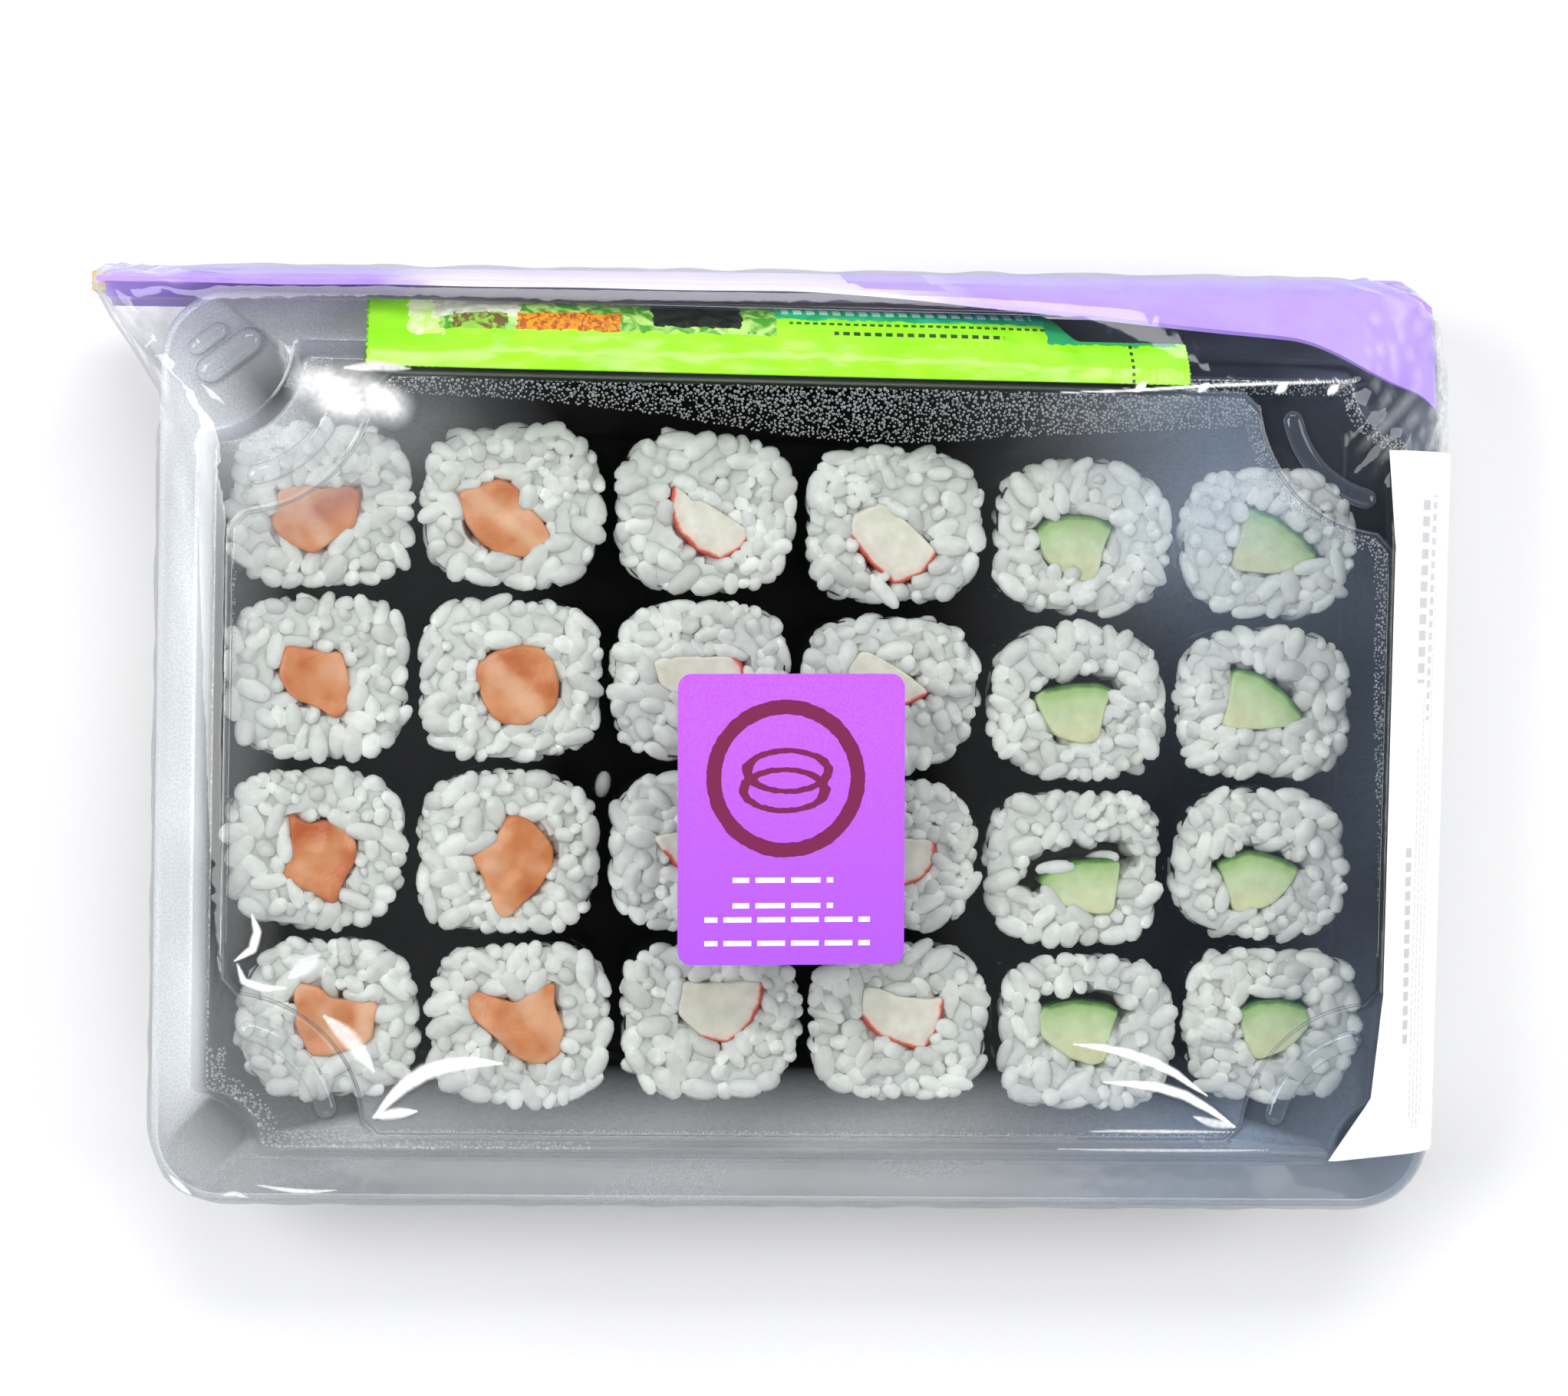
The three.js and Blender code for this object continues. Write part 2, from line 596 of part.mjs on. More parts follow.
// The tight cover round everything that the film holds, out by a distance: one stretch round the tray, lid,
// sachet and sleeve, and one over the sleeve's left end, which comes back to the rim just past its corner.
function cover(out) {
  const { left, right, halfThick, halfHeight } = STICKS;
  const packed = [
    ...atHeight(outline(TRAY_FLOOR, -out), BORDER_Z - out),
    ...atHeight(outline(RIM, -out), SKIRT_Z - out),
    ...atHeight(outline(RIM, -out), LID_RIM_Z - EDGE_ROUND + out),
    ...atHeight(outline(SHOULDER, -out), SHOULDER_Z + out),
    ...atHeight(outline(PANEL, -out), PANEL_Z + out),
    ...sleeveStations.flatMap((x) => sleeveSection(x, out)),
    ...sleeveSection(SLEEVE.right, out).map(([x, y, z]) => [x + out, y, z]),
    ...sachetStations.flatMap((x) => sachetSection(x, out)),
    ...stickBox(-RIM.x, right.x + out, halfThick + out, halfHeight + out).flat(),
  ];
  const round = packed.filter(([x]) => x > -RIM.x - out - 0.01);
  const corner = packed.filter(([x, y]) => x < CORNER_FILM.x && y > CORNER_FILM.y);
  const end = [
    ...stickBox(left.x - out, left.x, halfThick + out, halfHeight + out).flat(),
    ...sleeveSection(SLEEVE.left, out).map(([x, y, z]) => [x - out, y, z]),
  ];
  return hull(round).add(hull([...corner, ...end]));
}

const hull = (points) => solid(new ConvexGeometry(points.map((p) => new THREE.Vector3(...p))));

const skin = (layer) => cover(layer.outside).subtract(cover(layer.inside));

// The film is tucked under the tray's border and leaves its foot bare.
function film() {
  return skin(FILM).subtract(prism(outline(FILM_OPENING), -1, BORDER_Z + 2));
}

function squareLabel() {
  const { x, y, halfX, halfY, round, turn } = SQUARE_LABEL;
  const shape = outline({ x: halfX, y: halfY, round }).map(([px, py]) => [
    x + px * Math.cos(turn) - py * Math.sin(turn),
    y + px * Math.sin(turn) + py * Math.cos(turn),
  ]);
  return skin(LABEL).intersect(prism(shape, PANEL_Z, PANEL_Z + 5));
}

// The price label runs down from the shoulder's edge, over the rim and down the right side.
function priceLabel() {
  const { innerX, backY, frontY, lowerZ, cornerX, cornerY } = PRICE_LABEL;
  const shape = [
    [RIM.x + 20, frontY],
    [RIM.x + 20, backY],
    [innerX, backY],
    [innerX, cornerY],
    [cornerX, frontY],
  ];
  return skin(LABEL).intersect(prism(shape, lowerZ, PANEL_Z + 5));
}

// ---------------------------------------------------------------- the object

function mesh(name, geometry, finish) {
  const { color, roughness, opacity = 1 } = COLOURS[finish];
  const transparent = opacity < 1;
  const material = new THREE.MeshStandardMaterial({ color, roughness, metalness: 0, opacity, transparent });
  const made = new THREE.Mesh(geometry, material);
  made.name = name;
  return made;
}

const sushiTray = new THREE.Group();
sushiTray.add(
  mesh("tray", geometryOf(tray()), "tray"),
  mesh("lid", geometryOf(lid()), "lid"),
  ...rollMeshes(),
  mesh("soy_sachet", sachet(), "sachet"),
  mesh("chopsticks", geometryOf(chopsticks()), "wood"),
  mesh("chopstick_sleeve", geometryOf(sleeve()), "sleeve"),
  mesh("wrap_film", geometryOf(film()), "film"),
  mesh("square_label", geometryOf(squareLabel()), "squareLabel"),
  mesh("price_label", geometryOf(priceLabel()), "priceLabel"),
);

export default sushiTray;
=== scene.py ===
"""Looks of a shut takeaway tray of small sushi rolls.

A black tray holds 24 rolls, which stand on end in six columns of four. A clear snap lid
with condensation inside covers them. Stretch film round it all holds a soy sachet and a
paper sleeve of chopsticks along the back edge, and two labels are stuck on the film.

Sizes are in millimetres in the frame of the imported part: +X along the long side, +Y to
the back, +Z up, and the origin in the middle of the tray's foot.
"""

from __future__ import annotations

import logging
import math
from collections.abc import Callable, Iterator
from contextlib import contextmanager
from dataclasses import dataclass
from enum import Enum

import bmesh
import bpy
import numpy as np
from mathutils import Matrix, Vector
from mathutils.bvhtree import BVHTree

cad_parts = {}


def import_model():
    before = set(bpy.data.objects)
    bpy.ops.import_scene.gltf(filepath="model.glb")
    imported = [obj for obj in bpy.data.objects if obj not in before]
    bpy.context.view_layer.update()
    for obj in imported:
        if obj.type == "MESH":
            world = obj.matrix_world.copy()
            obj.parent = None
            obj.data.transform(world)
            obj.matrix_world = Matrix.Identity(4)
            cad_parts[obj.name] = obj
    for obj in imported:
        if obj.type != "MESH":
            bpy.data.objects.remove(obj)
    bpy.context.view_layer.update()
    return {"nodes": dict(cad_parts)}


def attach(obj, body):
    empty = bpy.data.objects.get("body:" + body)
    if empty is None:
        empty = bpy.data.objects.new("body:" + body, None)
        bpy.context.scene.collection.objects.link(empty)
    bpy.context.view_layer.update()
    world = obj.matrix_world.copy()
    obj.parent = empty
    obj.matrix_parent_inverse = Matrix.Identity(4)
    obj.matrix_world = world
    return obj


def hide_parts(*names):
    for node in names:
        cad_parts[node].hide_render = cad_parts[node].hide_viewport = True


LOG = logging.getLogger("sushi_tray")
MM = 0.001
IN_MM = (1 / MM,) * 3

Point = tuple[float, float]
Piece = bpy.types.Object
Socket = bpy.types.NodeSocket


# ------------------------------------------------------------------ small tools


def linear(hex_colour: str) -> tuple[float, float, float, float]:
    """Turns an sRGB hex value into a linear colour.

    Args:
        hex_colour: A value such as "#c8102e".

    Returns:
        Red, green, blue and a full alpha.
    """
    parts = [int(hex_colour[i : i + 2], 16) / 255 for i in (1, 3, 5)]
    lit = [p / 12.92 if p <= 0.04045 else ((p + 0.055) / 1.055) ** 2.4 for p in parts]
    return (lit[0], lit[1], lit[2], 1.0)


def deselect() -> None:
    """Leaves object mode with nothing selected."""
    if bpy.context.object and bpy.context.object.mode != "OBJECT":
        bpy.ops.object.mode_set(mode="OBJECT")
    bpy.ops.object.select_all(action="DESELECT")


def choose(piece: Piece) -> None:
    """Makes a piece the only selected and the active one.

    Args:
        piece: The piece.
    """
    deselect()
    piece.select_set(True)
    bpy.context.view_layer.objects.active = piece


@contextmanager
def editing(piece: Piece) -> Iterator[None]:
    """Holds a piece in edit mode with all of it selected.

    Args:
        piece: The piece, which is in object mode before and after.

    Returns:
        Nothing to use, while it is open.
    """
    choose(piece)
    bpy.ops.object.mode_set(mode="EDIT")
    bpy.ops.mesh.select_all(action="SELECT")
    yield
    bpy.ops.object.mode_set(mode="OBJECT")


def renamed(name: str) -> Piece:
    """Names the active object and its mesh.

    Args:
        name: The name for both.

    Returns:
        The object.
    """
    piece = bpy.context.object
    piece.name = piece.data.name = name
    return piece


def loft(name: str, rings: list[list[tuple]], start: bool, end: bool) -> Piece:
    """Draws a ring of edges and extrudes it through all the others.

    Args:
        name: The new object's name.
        rings: Rings of points in millimetres, each with as many points.
        start: Whether a face closes the first ring.
        end: Whether a face closes the last ring.

    Returns:
        The new object, in object mode.
    """
    deselect()
    count = len(rings[0])
    bpy.ops.mesh.primitive_circle_add(vertices=count, radius=MM)
    piece = renamed(name)
    bpy.ops.object.mode_set(mode="EDIT")
    mesh = bmesh.from_edit_mesh(piece.data)
    mesh.verts.ensure_lookup_table()
    for vert, place in zip(mesh.verts, rings[0]):
        vert.co = Vector(place) * MM
    if start:
        bpy.ops.mesh.edge_face_add()
        mesh = bmesh.from_edit_mesh(piece.data)
        for face in mesh.faces:
            face.select = False
        for edge in mesh.edges:
            edge.select = True
    for number, ring in enumerate(rings[1:]):
        bpy.ops.mesh.extrude_edges_move()
        mesh = bmesh.from_edit_mesh(piece.data)
        mesh.verts.ensure_lookup_table()
        old, new = number * count, (number + 1) * count
        above = {}
        for vert in mesh.verts[new : new + count]:
            ends = (edge.other_vert(vert).index for edge in vert.link_edges)
            above[next(end for end in ends if end < new) - old] = vert
        for place, vert in above.items():
            vert.co = Vector(ring[place]) * MM
            vert.index = new + place
        mesh.verts.sort()
    if end:
        bpy.ops.mesh.edge_face_add()
    bpy.ops.mesh.select_all(action="SELECT")
    bpy.ops.mesh.normals_make_consistent(inside=False)
    mesh = bmesh.from_edit_mesh(piece.data)
    middle = sum((vert.co for vert in mesh.verts), Vector()) / len(mesh.verts)
    cap = max(mesh.faces, key=lambda face: len(face.verts))
    if cap.normal.dot(cap.calc_center_median() - middle) < 0:
        bpy.ops.mesh.flip_normals()
    bpy.ops.object.mode_set(mode="OBJECT")
    return piece


def sheet(name: str, rows: np.ndarray, closed: bool = False, flip: bool = False) -> Piece:
    """Lays a grid through rows of points and merges where they meet.

    Args:
        name: The new object's name.
        rows: Points in millimetres, as rows by columns by three.
        closed: Whether each row goes on to its own first point.
        flip: Whether the faces turn over.

    Returns:
        The new object, in object mode.
    """
    deselect()
    if closed:
        rows = np.concatenate([rows, rows[:, :1]], axis=1)
    height, width, _ = rows.shape
    bpy.ops.mesh.primitive_grid_add(x_subdivisions=width - 1, y_subdivisions=height - 1)
    piece = renamed(name)
    piece.data.vertices.foreach_set("co", (rows * MM).astype(np.float32).ravel())
    with editing(piece):
        bpy.ops.mesh.remove_doubles(threshold=1e-6)
        if flip:
            bpy.ops.mesh.flip_normals()
    return piece


def thicken(piece: Piece, thickness: float, offset: float = -1) -> None:
    """Gives a sheet a wall by a Solidify modifier and applies it.

    Args:
        piece: The sheet.
        thickness: The wall's thickness in millimetres.
        offset: -1 for a wall on the inner side, 1 for one on the outer side.
    """
    choose(piece)
    wall = piece.modifiers.new("Wall", "SOLIDIFY")
    wall.thickness = thickness * MM
    wall.offset = offset
    bpy.ops.object.modifier_apply(modifier=wall.name)


def smooth(piece: Piece, angle: float = 40) -> None:
    """Shades a piece smooth, with edges sharper than an angle in degrees kept."""
    choose(piece)
    bpy.ops.object.shade_smooth_by_angle(angle=math.radians(angle))


def joined(name: str, pieces: list[Piece]) -> Piece:
    """Joins pieces into the first one and names it.

    Args:
        name: The joined piece's name.
        pieces: The pieces.

    Returns:
        The joined piece.
    """
    choose(pieces[0])
    for piece in pieces:
        piece.select_set(True)
    if len(pieces) > 1:
        bpy.ops.object.join()
    return renamed(name)


def places(piece: Piece) -> np.ndarray:
    """Reads a piece's vertices in millimetres.

    Args:
        piece: The piece.

    Returns:
        One row of x, y and z for each vertex.
    """
    read = np.empty(len(piece.data.vertices) * 3, np.float32)
    piece.data.vertices.foreach_get("co", read)
    return read.reshape(-1, 3) / MM


def facings(piece: Piece) -> np.ndarray:
    """Reads the way that each of a piece's vertices faces."""
    return np.array([tuple(vert.normal) for vert in piece.data.vertices])


def tree_of(piece: Piece, epsilon: float = 0.0) -> BVHTree:
    """Gives a piece's faces as a tree that rays can be cast at, in millimetres.

    Args:
        piece: The piece.
        epsilon: How far past a face's edge a ray still meets it.

    Returns:
        The tree.
    """
    spots = [vert.co / MM for vert in piece.data.vertices]
    faces = [list(face.vertices) for face in piece.data.polygons]
    return BVHTree.FromPolygons(spots, faces, epsilon=epsilon)


def posed(place: tuple, turn: Matrix, size: tuple) -> np.ndarray:
    """Gives the 4 x 4 matrix that sizes, turns and places a unit shape.

    Args:
        place: Where the shape's origin goes, in millimetres.
        turn: How it is turned.
        size: How far it reaches along each of its own axes, in millimetres.

    Returns:
        The matrix, in millimetres.
    """
    pose = np.eye(4)
    pose[:3, :3] = np.array(turn) @ np.diag(size)
    pose[:3, 3] = place
    return pose


def note(piece: Piece, name: str, values: np.ndarray) -> None:
    """Stores one number for each vertex of a piece."""
    attribute = piece.data.attributes.new(name, "FLOAT", "POINT")
    attribute.data.foreach_set("value", values.astype(np.float32))


def copies(name: str, template: Piece, poses: np.ndarray) -> Piece:
    """Sets copies of a modelled shape in one mesh, each with its own vertices.

    Args:
        name: The new object's name.
        template: The shape, about the origin. It is removed.
        poses: One 4 x 4 matrix for each copy, in millimetres.

    Returns:
        The new object, with the number of each vertex's copy in "draw", as 0 to 1.
    """
    shape = places(template)
    faces = [list(face.vertices) for face in template.data.polygons]
    sizes = np.array([len(face) for face in faces])
    corners = np.concatenate([np.array(face) for face in faces])
    count, each = len(poses), len(shape)
    spots = np.einsum("nij,vj->nvi", poses[:, :3, :3], shape) + poses[:, None, :3, 3]
    mesh = bpy.data.meshes.new(name)
    mesh.vertices.add(count * each)
    mesh.vertices.foreach_set("co", (spots * MM).astype(np.float32).ravel())
    mesh.loops.add(count * len(corners))
    shifted = corners[None, :] + np.arange(count)[:, None] * each
    mesh.loops.foreach_set("vertex_index", shifted.ravel().astype(np.int32))
    mesh.polygons.add(count * len(faces))
    starts = np.concatenate([[0], np.cumsum(np.tile(sizes, count))[:-1]])
    mesh.polygons.foreach_set("loop_start", starts.astype(np.int32))
    mesh.update(calc_edges=True)
    mesh.polygons.foreach_set("use_smooth", np.ones(count * len(faces), bool))
    piece = bpy.data.objects.new(name, mesh)
    bpy.context.collection.objects.link(piece)
    note(piece, "draw", np.repeat(0.08 + 0.92 * (np.arange(count) * 0.618 % 1), each))
    bpy.data.objects.remove(template)
    return piece


def bend_step(value: np.ndarray | float, low: float, high: float) -> np.ndarray | float:
    """Rises smoothly from 0 at low to 1 at high."""
    share = np.clip((value - low) / (high - low), 0, 1)
    return share * share * (3 - 2 * share)


def glow(spots: np.ndarray, patch: tuple[float, ...]) -> np.ndarray:
    """Gives the strength of a soft round patch at each point.

    Args:
        spots: Points, as rows that start with x and y in millimetres.
        patch: The middle's x and y, the reach in x and in y, and the full strength.

    Returns:
        One number for each point.
    """
    x, y, wide, deep, strength = patch
    away = ((spots[:, 0] - x) / wide) ** 2 + ((spots[:, 1] - y) / deep) ** 2
    return strength * np.exp(-away)


def ripple(spots: np.ndarray, size: float, seed: int) -> np.ndarray:
    """Gives a soft random wave over points, from about -1 to 1.

    Args:
        spots: Points, as rows of two or three numbers in millimetres.
        size: The length of a wave in millimetres.
        seed: Which wave to draw.

    Returns:
        One number for each point.
    """
    draw = np.random.default_rng(seed)
    ways = draw.normal(size=(7, spots.shape[1]))
    ways /= np.linalg.norm(ways, axis=1, keepdims=True)
    rates = 2 * math.pi / (size * draw.uniform(0.7, 1.6, 7))
    starts = draw.uniform(0, 6.28, 7)
    return np.sin(spots @ (ways * rates[:, None]).T + starts).sum(axis=1) / 3.2


# ------------------------------------------------------------------ finishes


class Nodes:
    """The nodes of one material or of the world, empty at first."""

    def __init__(self, owner: bpy.types.Material | bpy.types.World) -> None:
        """Turns the owner's nodes on and clears them.

        Args:
            owner: The material or the world.
        """
        owner.use_nodes = True
        self.tree = owner.node_tree
        self.tree.nodes.clear()

    def add(
        self, kind: str, inputs: dict | None = None, out: int | str = 0, **settings: object
    ) -> Socket | None:
        """Adds a node with its settings, values and links.

        Args:
            kind: The node's type without its "ShaderNode" prefix.
            inputs: A number, a hex colour or an output socket for each input.
            out: Which output to give back.
            **settings: Attributes to set, or "stops", a ramp's (place, hex colour) pairs.

        Returns:
            The output socket, if the node has one.
        """
        made = self.tree.nodes.new("ShaderNode" + kind)
        stops = settings.pop("stops", ())
        for name, value in settings.items():
            setattr(made, name, value)
        while len(stops) > len(made.color_ramp.elements if stops else ()):
            made.color_ramp.elements.new(0.5)
        for number, (place, colour) in enumerate(stops):
            made.color_ramp.elements[number].position = place
            made.color_ramp.elements[number].color = linear(colour)
        for name, value in (inputs or {}).items():
            if isinstance(value, Socket):
                self.tree.links.new(value, made.inputs[name])
                continue
            made.inputs[name].default_value = linear(value) if isinstance(value, str) else value
        return made.outputs[out] if made.outputs else None


class Finish:
    """A finish, whose material is made at its first use."""

    name = "finish"

    def build(self, nodes: Nodes, where: Socket) -> Socket:
        """Adds the material's nodes.

        Args:
            nodes: The material's nodes so far.
            where: The piece's Object coordinates.

        Returns:
            The surface's shader.
        """
        raise NotImplementedError

    def opaque(
        self,
        nodes: Nodes,
        tone: Socket,
        roughness: Socket | float,
        relief: Socket,
        depth: float,
        more: dict | None = None,
    ) -> Socket:
        """Ends a material with an opaque surface in relief, softly lit inside if "more" says so.

        Args:
            nodes: The material's nodes so far.
            tone: The surface's colour.
            roughness: How rough it is.
            relief: The pattern that stands out.
            depth: How far it stands out, in millimetres.
            more: Other inputs of the shader.

        Returns:
            The surface's shader.
        """
        normal = nodes.add("Bump", {"Height": relief, "Distance": depth * MM})
        coat = {"Base Color": tone, "Roughness": roughness, "Normal": normal} | (more or {})
        return nodes.add("BsdfPrincipled", coat, subsurface_method="BURLEY")

    def dress(self, piece: Piece) -> None:
        """Gives a piece this finish all over.

        Args:
            piece: The piece, whose own materials go.
        """
        made = bpy.data.materials.get(self.name)
        if made is None:
            made = bpy.data.materials.new(self.name)
            nodes = Nodes(made)
            where = nodes.add("TexCoord", out="Object")
            nodes.add("OutputMaterial", {"Surface": self.build(nodes, where)})
        piece.data.materials.clear()
        piece.data.materials.append(made)


@dataclass(frozen=True)
class Board(Finish):
    """Matt white board for the floor: even, with the faintest mottle."""

    name: str = "pale_matt_board"

    def build(self, nodes: Nodes, where: Socket) -> Socket:
        """Adds the material's nodes.

        Args:
            nodes: The material's nodes so far.
            where: The piece's Object coordinates.

        Returns:
            The surface's shader.
        """
        mottle = nodes.add("TexNoise", {"Vector": where, "Scale": 1 / (90 * MM)})
        tone = nodes.add("ValToRGB", {0: mottle}, stops=[(0.3, "#e2e2e3"), (0.7, "#e5e5e5")])
        return nodes.add("BsdfPrincipled", {"Base Color": tone, "Roughness": 0.8})


@dataclass(frozen=True)
class BlackTray(Finish):
    """Thermoformed black polystyrene: near black, with a soft sheen and faint flow marks."""

    name: str = "black_polystyrene_thermoformed"

    def build(self, nodes: Nodes, where: Socket) -> Socket:
        """Adds the material's nodes.

        Args:
            nodes: The material's nodes so far.
            where: The piece's Object coordinates.

        Returns:
            The surface's shader.
        """
        marks = nodes.add("TexNoise", {"Vector": where, "Scale": 1 / (14 * MM), "Detail": 3})
        grain = nodes.add("TexNoise", {"Vector": where, "Scale": 1 / (0.5 * MM)})
        tone = nodes.add("ValToRGB", {0: marks}, stops=[(0.3, "#0a0708"), (0.7, "#140e10")])
        sheen = nodes.add("MapRange", {0: marks, 3: 0.32, 4: 0.5})
        return self.opaque(nodes, tone, sheen, grain, 0.03, {"Specular IOR Level": 0.25})


@dataclass(frozen=True)
class Clear(Finish):
    """A clear sheet: it mirrors more and lets less through at a slant, and scatters where misted.

    The piece stores, as a point attribute, how milky it is: real misting, and painted
    highlights and reflections laid on as the same white scattering. specks is the size of
    the drops in the misting, waves and creases are soft unevenness, as pairs of size and
    depth. most is the largest share that it mirrors. The last field is the scattering's
    colour at the left and at the right; the lid's bluish right colour is painted cool light.
    """

    name: str = "clear"
    mirror: float = 0.05
    most: float = 1.0
    roughness: float = 0.03
    waves: Point = (18.0, 0.05)
    creases: Point = (3.0, 0.02)
    specks: float = 0.35
    rim: str = "#8f959c"
    milk_and_painted_light: tuple[str, str] = ("#eef0f3", "#eef0f3")

    def build(self, nodes: Nodes, where: Socket) -> Socket:
        """Adds the material's nodes.

        Args:
            nodes: The material's nodes so far.
            where: The piece's Object coordinates.

        Returns:
            The surface's shader.
        """
        below: dict[str, Socket] = {}
        for detail, (size, depth) in enumerate((self.waves, self.creases)):
            uneven = {"Vector": where, "Scale": 1 / (size * MM), "Detail": detail}
            bump = {"Height": nodes.add("TexNoise", uneven), "Distance": depth * MM}
            below = {"Normal": nodes.add("Bump", bump | below)}
        facing = nodes.add("LayerWeight", {"Blend": 0.5}, "Facing")
        slant = nodes.add("Math", {0: facing, 1: 5.0}, operation="POWER")
        schlick = {0: slant, 1: 1 - self.mirror, 2: self.mirror}
        share = nodes.add("Math", schlick, operation="MULTIPLY_ADD")
        share = nodes.add("Math", {0: share, 1: self.most}, operation="MINIMUM")
        tint = nodes.add("ValToRGB", {0: facing}, stops=[(0.35, "#fcfdfd"), (0.95, self.rim)])
        through = nodes.add("BsdfTransparent", {"Color": tint})
        gloss = nodes.add("BsdfGlossy", {"Color": "#ffffff", "Roughness": self.roughness} | below)
        skin = nodes.add("MixShader", {0: share, 1: through, 2: gloss})
        # Stored milkiness: real misting, and painted highlights and reflections.
        haze_and_painted_light = nodes.add("Attribute", out="Fac", attribute_name="haze_and_painted_light")
        drops = {"Vector": where, "Scale": 1 / (self.specks * MM), "Detail": 0}
        speck = nodes.add("TexNoise", drops)
        grain = nodes.add("MapRange", {0: speck, 1: 0.35, 2: 0.65, 3: 0.88, 4: 1.12})
        haze_and_painted_light = nodes.add("Math", {0: haze_and_painted_light, 1: grain}, operation="MULTIPLY", use_clamp=True)
        # Where the two colours differ, the scattering turns bluish towards the right: painted cool
        # light.
        side = nodes.add("SeparateXYZ", {0: where})
        side = nodes.add("MapRange", {0: side, 1: 25 * MM, 2: 60 * MM})
        tone = nodes.add("ValToRGB", {0: side}, stops=list(zip((0.0, 1.0), self.milk_and_painted_light)))
        milk_and_painted_light = nodes.add("BsdfDiffuse", {"Color": tone})
        return nodes.add("MixShader", {0: haze_and_painted_light, 1: skin, 2: milk_and_painted_light})


@dataclass(frozen=True)
class Rice(Finish):
    """Cooked short-grain rice: white, a little see-through, and moist enough to glint.

    "draw" gives each grain its own white; 0 gives painted shade, dark, to the pits beside a
    filling.
    """

    name: str = "cooked_sushi_rice"

    def build(self, nodes: Nodes, where: Socket) -> Socket:
        """Adds the material's nodes.

        Args:
            nodes: The material's nodes so far.
            where: The piece's Object coordinates.

        Returns:
            The surface's shader.
        """
        drawn = nodes.add("Attribute", out="Fac", attribute_name="draw")
        # The darkest stop, at 0, is painted shade for the pits and the core's lower sides.
        stops = [(0.0, "#45423d"), (0.07, "#cdccc8"), (0.5, "#dadad5"), (1.0, "#e6e6e1")]
        tone = nodes.add("ValToRGB", {0: drawn}, stops=stops)
        lump = nodes.add("TexNoise", {"Vector": where, "Scale": 1 / (1.6 * MM), "Detail": 2})
        shade = nodes.add("ValToRGB", {0: lump}, stops=[(0.35, "#d8d8d6"), (0.65, "#ffffff")])
        pore = nodes.add("TexNoise", {"Vector": where, "Scale": 1 / (0.35 * MM), "Detail": 2})
        mixed = {0: 0.35, 6: tone, 7: shade}
        tone = nodes.add("Mix", mixed, 2, data_type="RGBA", blend_type="MULTIPLY")
        soft = {
            "IOR": 1.4,
            "Subsurface Weight": 0.75,
            "Subsurface Radius": (1.0, 0.95, 0.9),
            "Subsurface Scale": 2.4 * MM,
        }
        return self.opaque(nodes, tone, 0.38, pore, 0.04, soft)


@dataclass(frozen=True)
class Seaweed(Finish):
    """Toasted nori: green-black, crinkled and faintly glossy."""

    name: str = "toasted_nori"

    def build(self, nodes: Nodes, where: Socket) -> Socket:
        """Adds the material's nodes.

        Args:
            nodes: The material's nodes so far.
            where: The piece's Object coordinates.

        Returns:
            The surface's shader.
        """
        crinkle = nodes.add("TexNoise", {"Vector": where, "Scale": 1 / (1.1 * MM), "Detail": 4})
        tone = nodes.add("ValToRGB", {0: crinkle}, stops=[(0.3, "#080a07"), (0.75, "#151a13")])
        return self.opaque(nodes, tone, 0.5, crinkle, 0.25)


@dataclass(frozen=True)
class Salmon(Finish):
    """Raw salmon: orange flesh with pale fat lines, soft and moist."""

    name: str = "raw_salmon"

    def build(self, nodes: Nodes, where: Socket) -> Socket:
        """Adds the material's nodes.

        Args:
            nodes: The material's nodes so far.
            where: The piece's Object coordinates.

        Returns:
            The surface's shader.
        """
        patch = nodes.add("TexNoise", {"Vector": where, "Scale": 1 / (7 * MM), "Detail": 2.5})
        stops = [(0.32, "#ba5a26"), (0.46, "#cd7b46"), (0.56, "#d68e5e"), (0.7, "#e0a681")]
        flesh = nodes.add("ValToRGB", {0: patch}, stops=stops)
        # A wave node draws one band every tenth of its scale, here a fat line every 5 mm.
        bands = nodes.add(
            "TexWave",
            {"Vector": where, "Scale": 1 / (50 * MM), "Distortion": 6.0, "Detail Scale": 1.2},
            "Fac",
            bands_direction="DIAGONAL",
        )
        fat = nodes.add("ValToRGB", {0: bands}, stops=[(0.86, "#000000"), (1.0, "#b0b0b0")])
        tone = nodes.add("Mix", {0: fat, 6: flesh, 7: "#f0c2a0"}, 2, data_type="RGBA")
        fibre = nodes.add("TexNoise", {"Vector": where, "Scale": 1 / (0.7 * MM), "Detail": 3})
        soft = {
            "Subsurface Weight": 0.3,
            "Subsurface Radius": (1.0, 0.5, 0.25),
            "Subsurface Scale": 1.2 * MM,
        }
        return self.opaque(nodes, tone, 0.42, fibre, 0.15, soft)


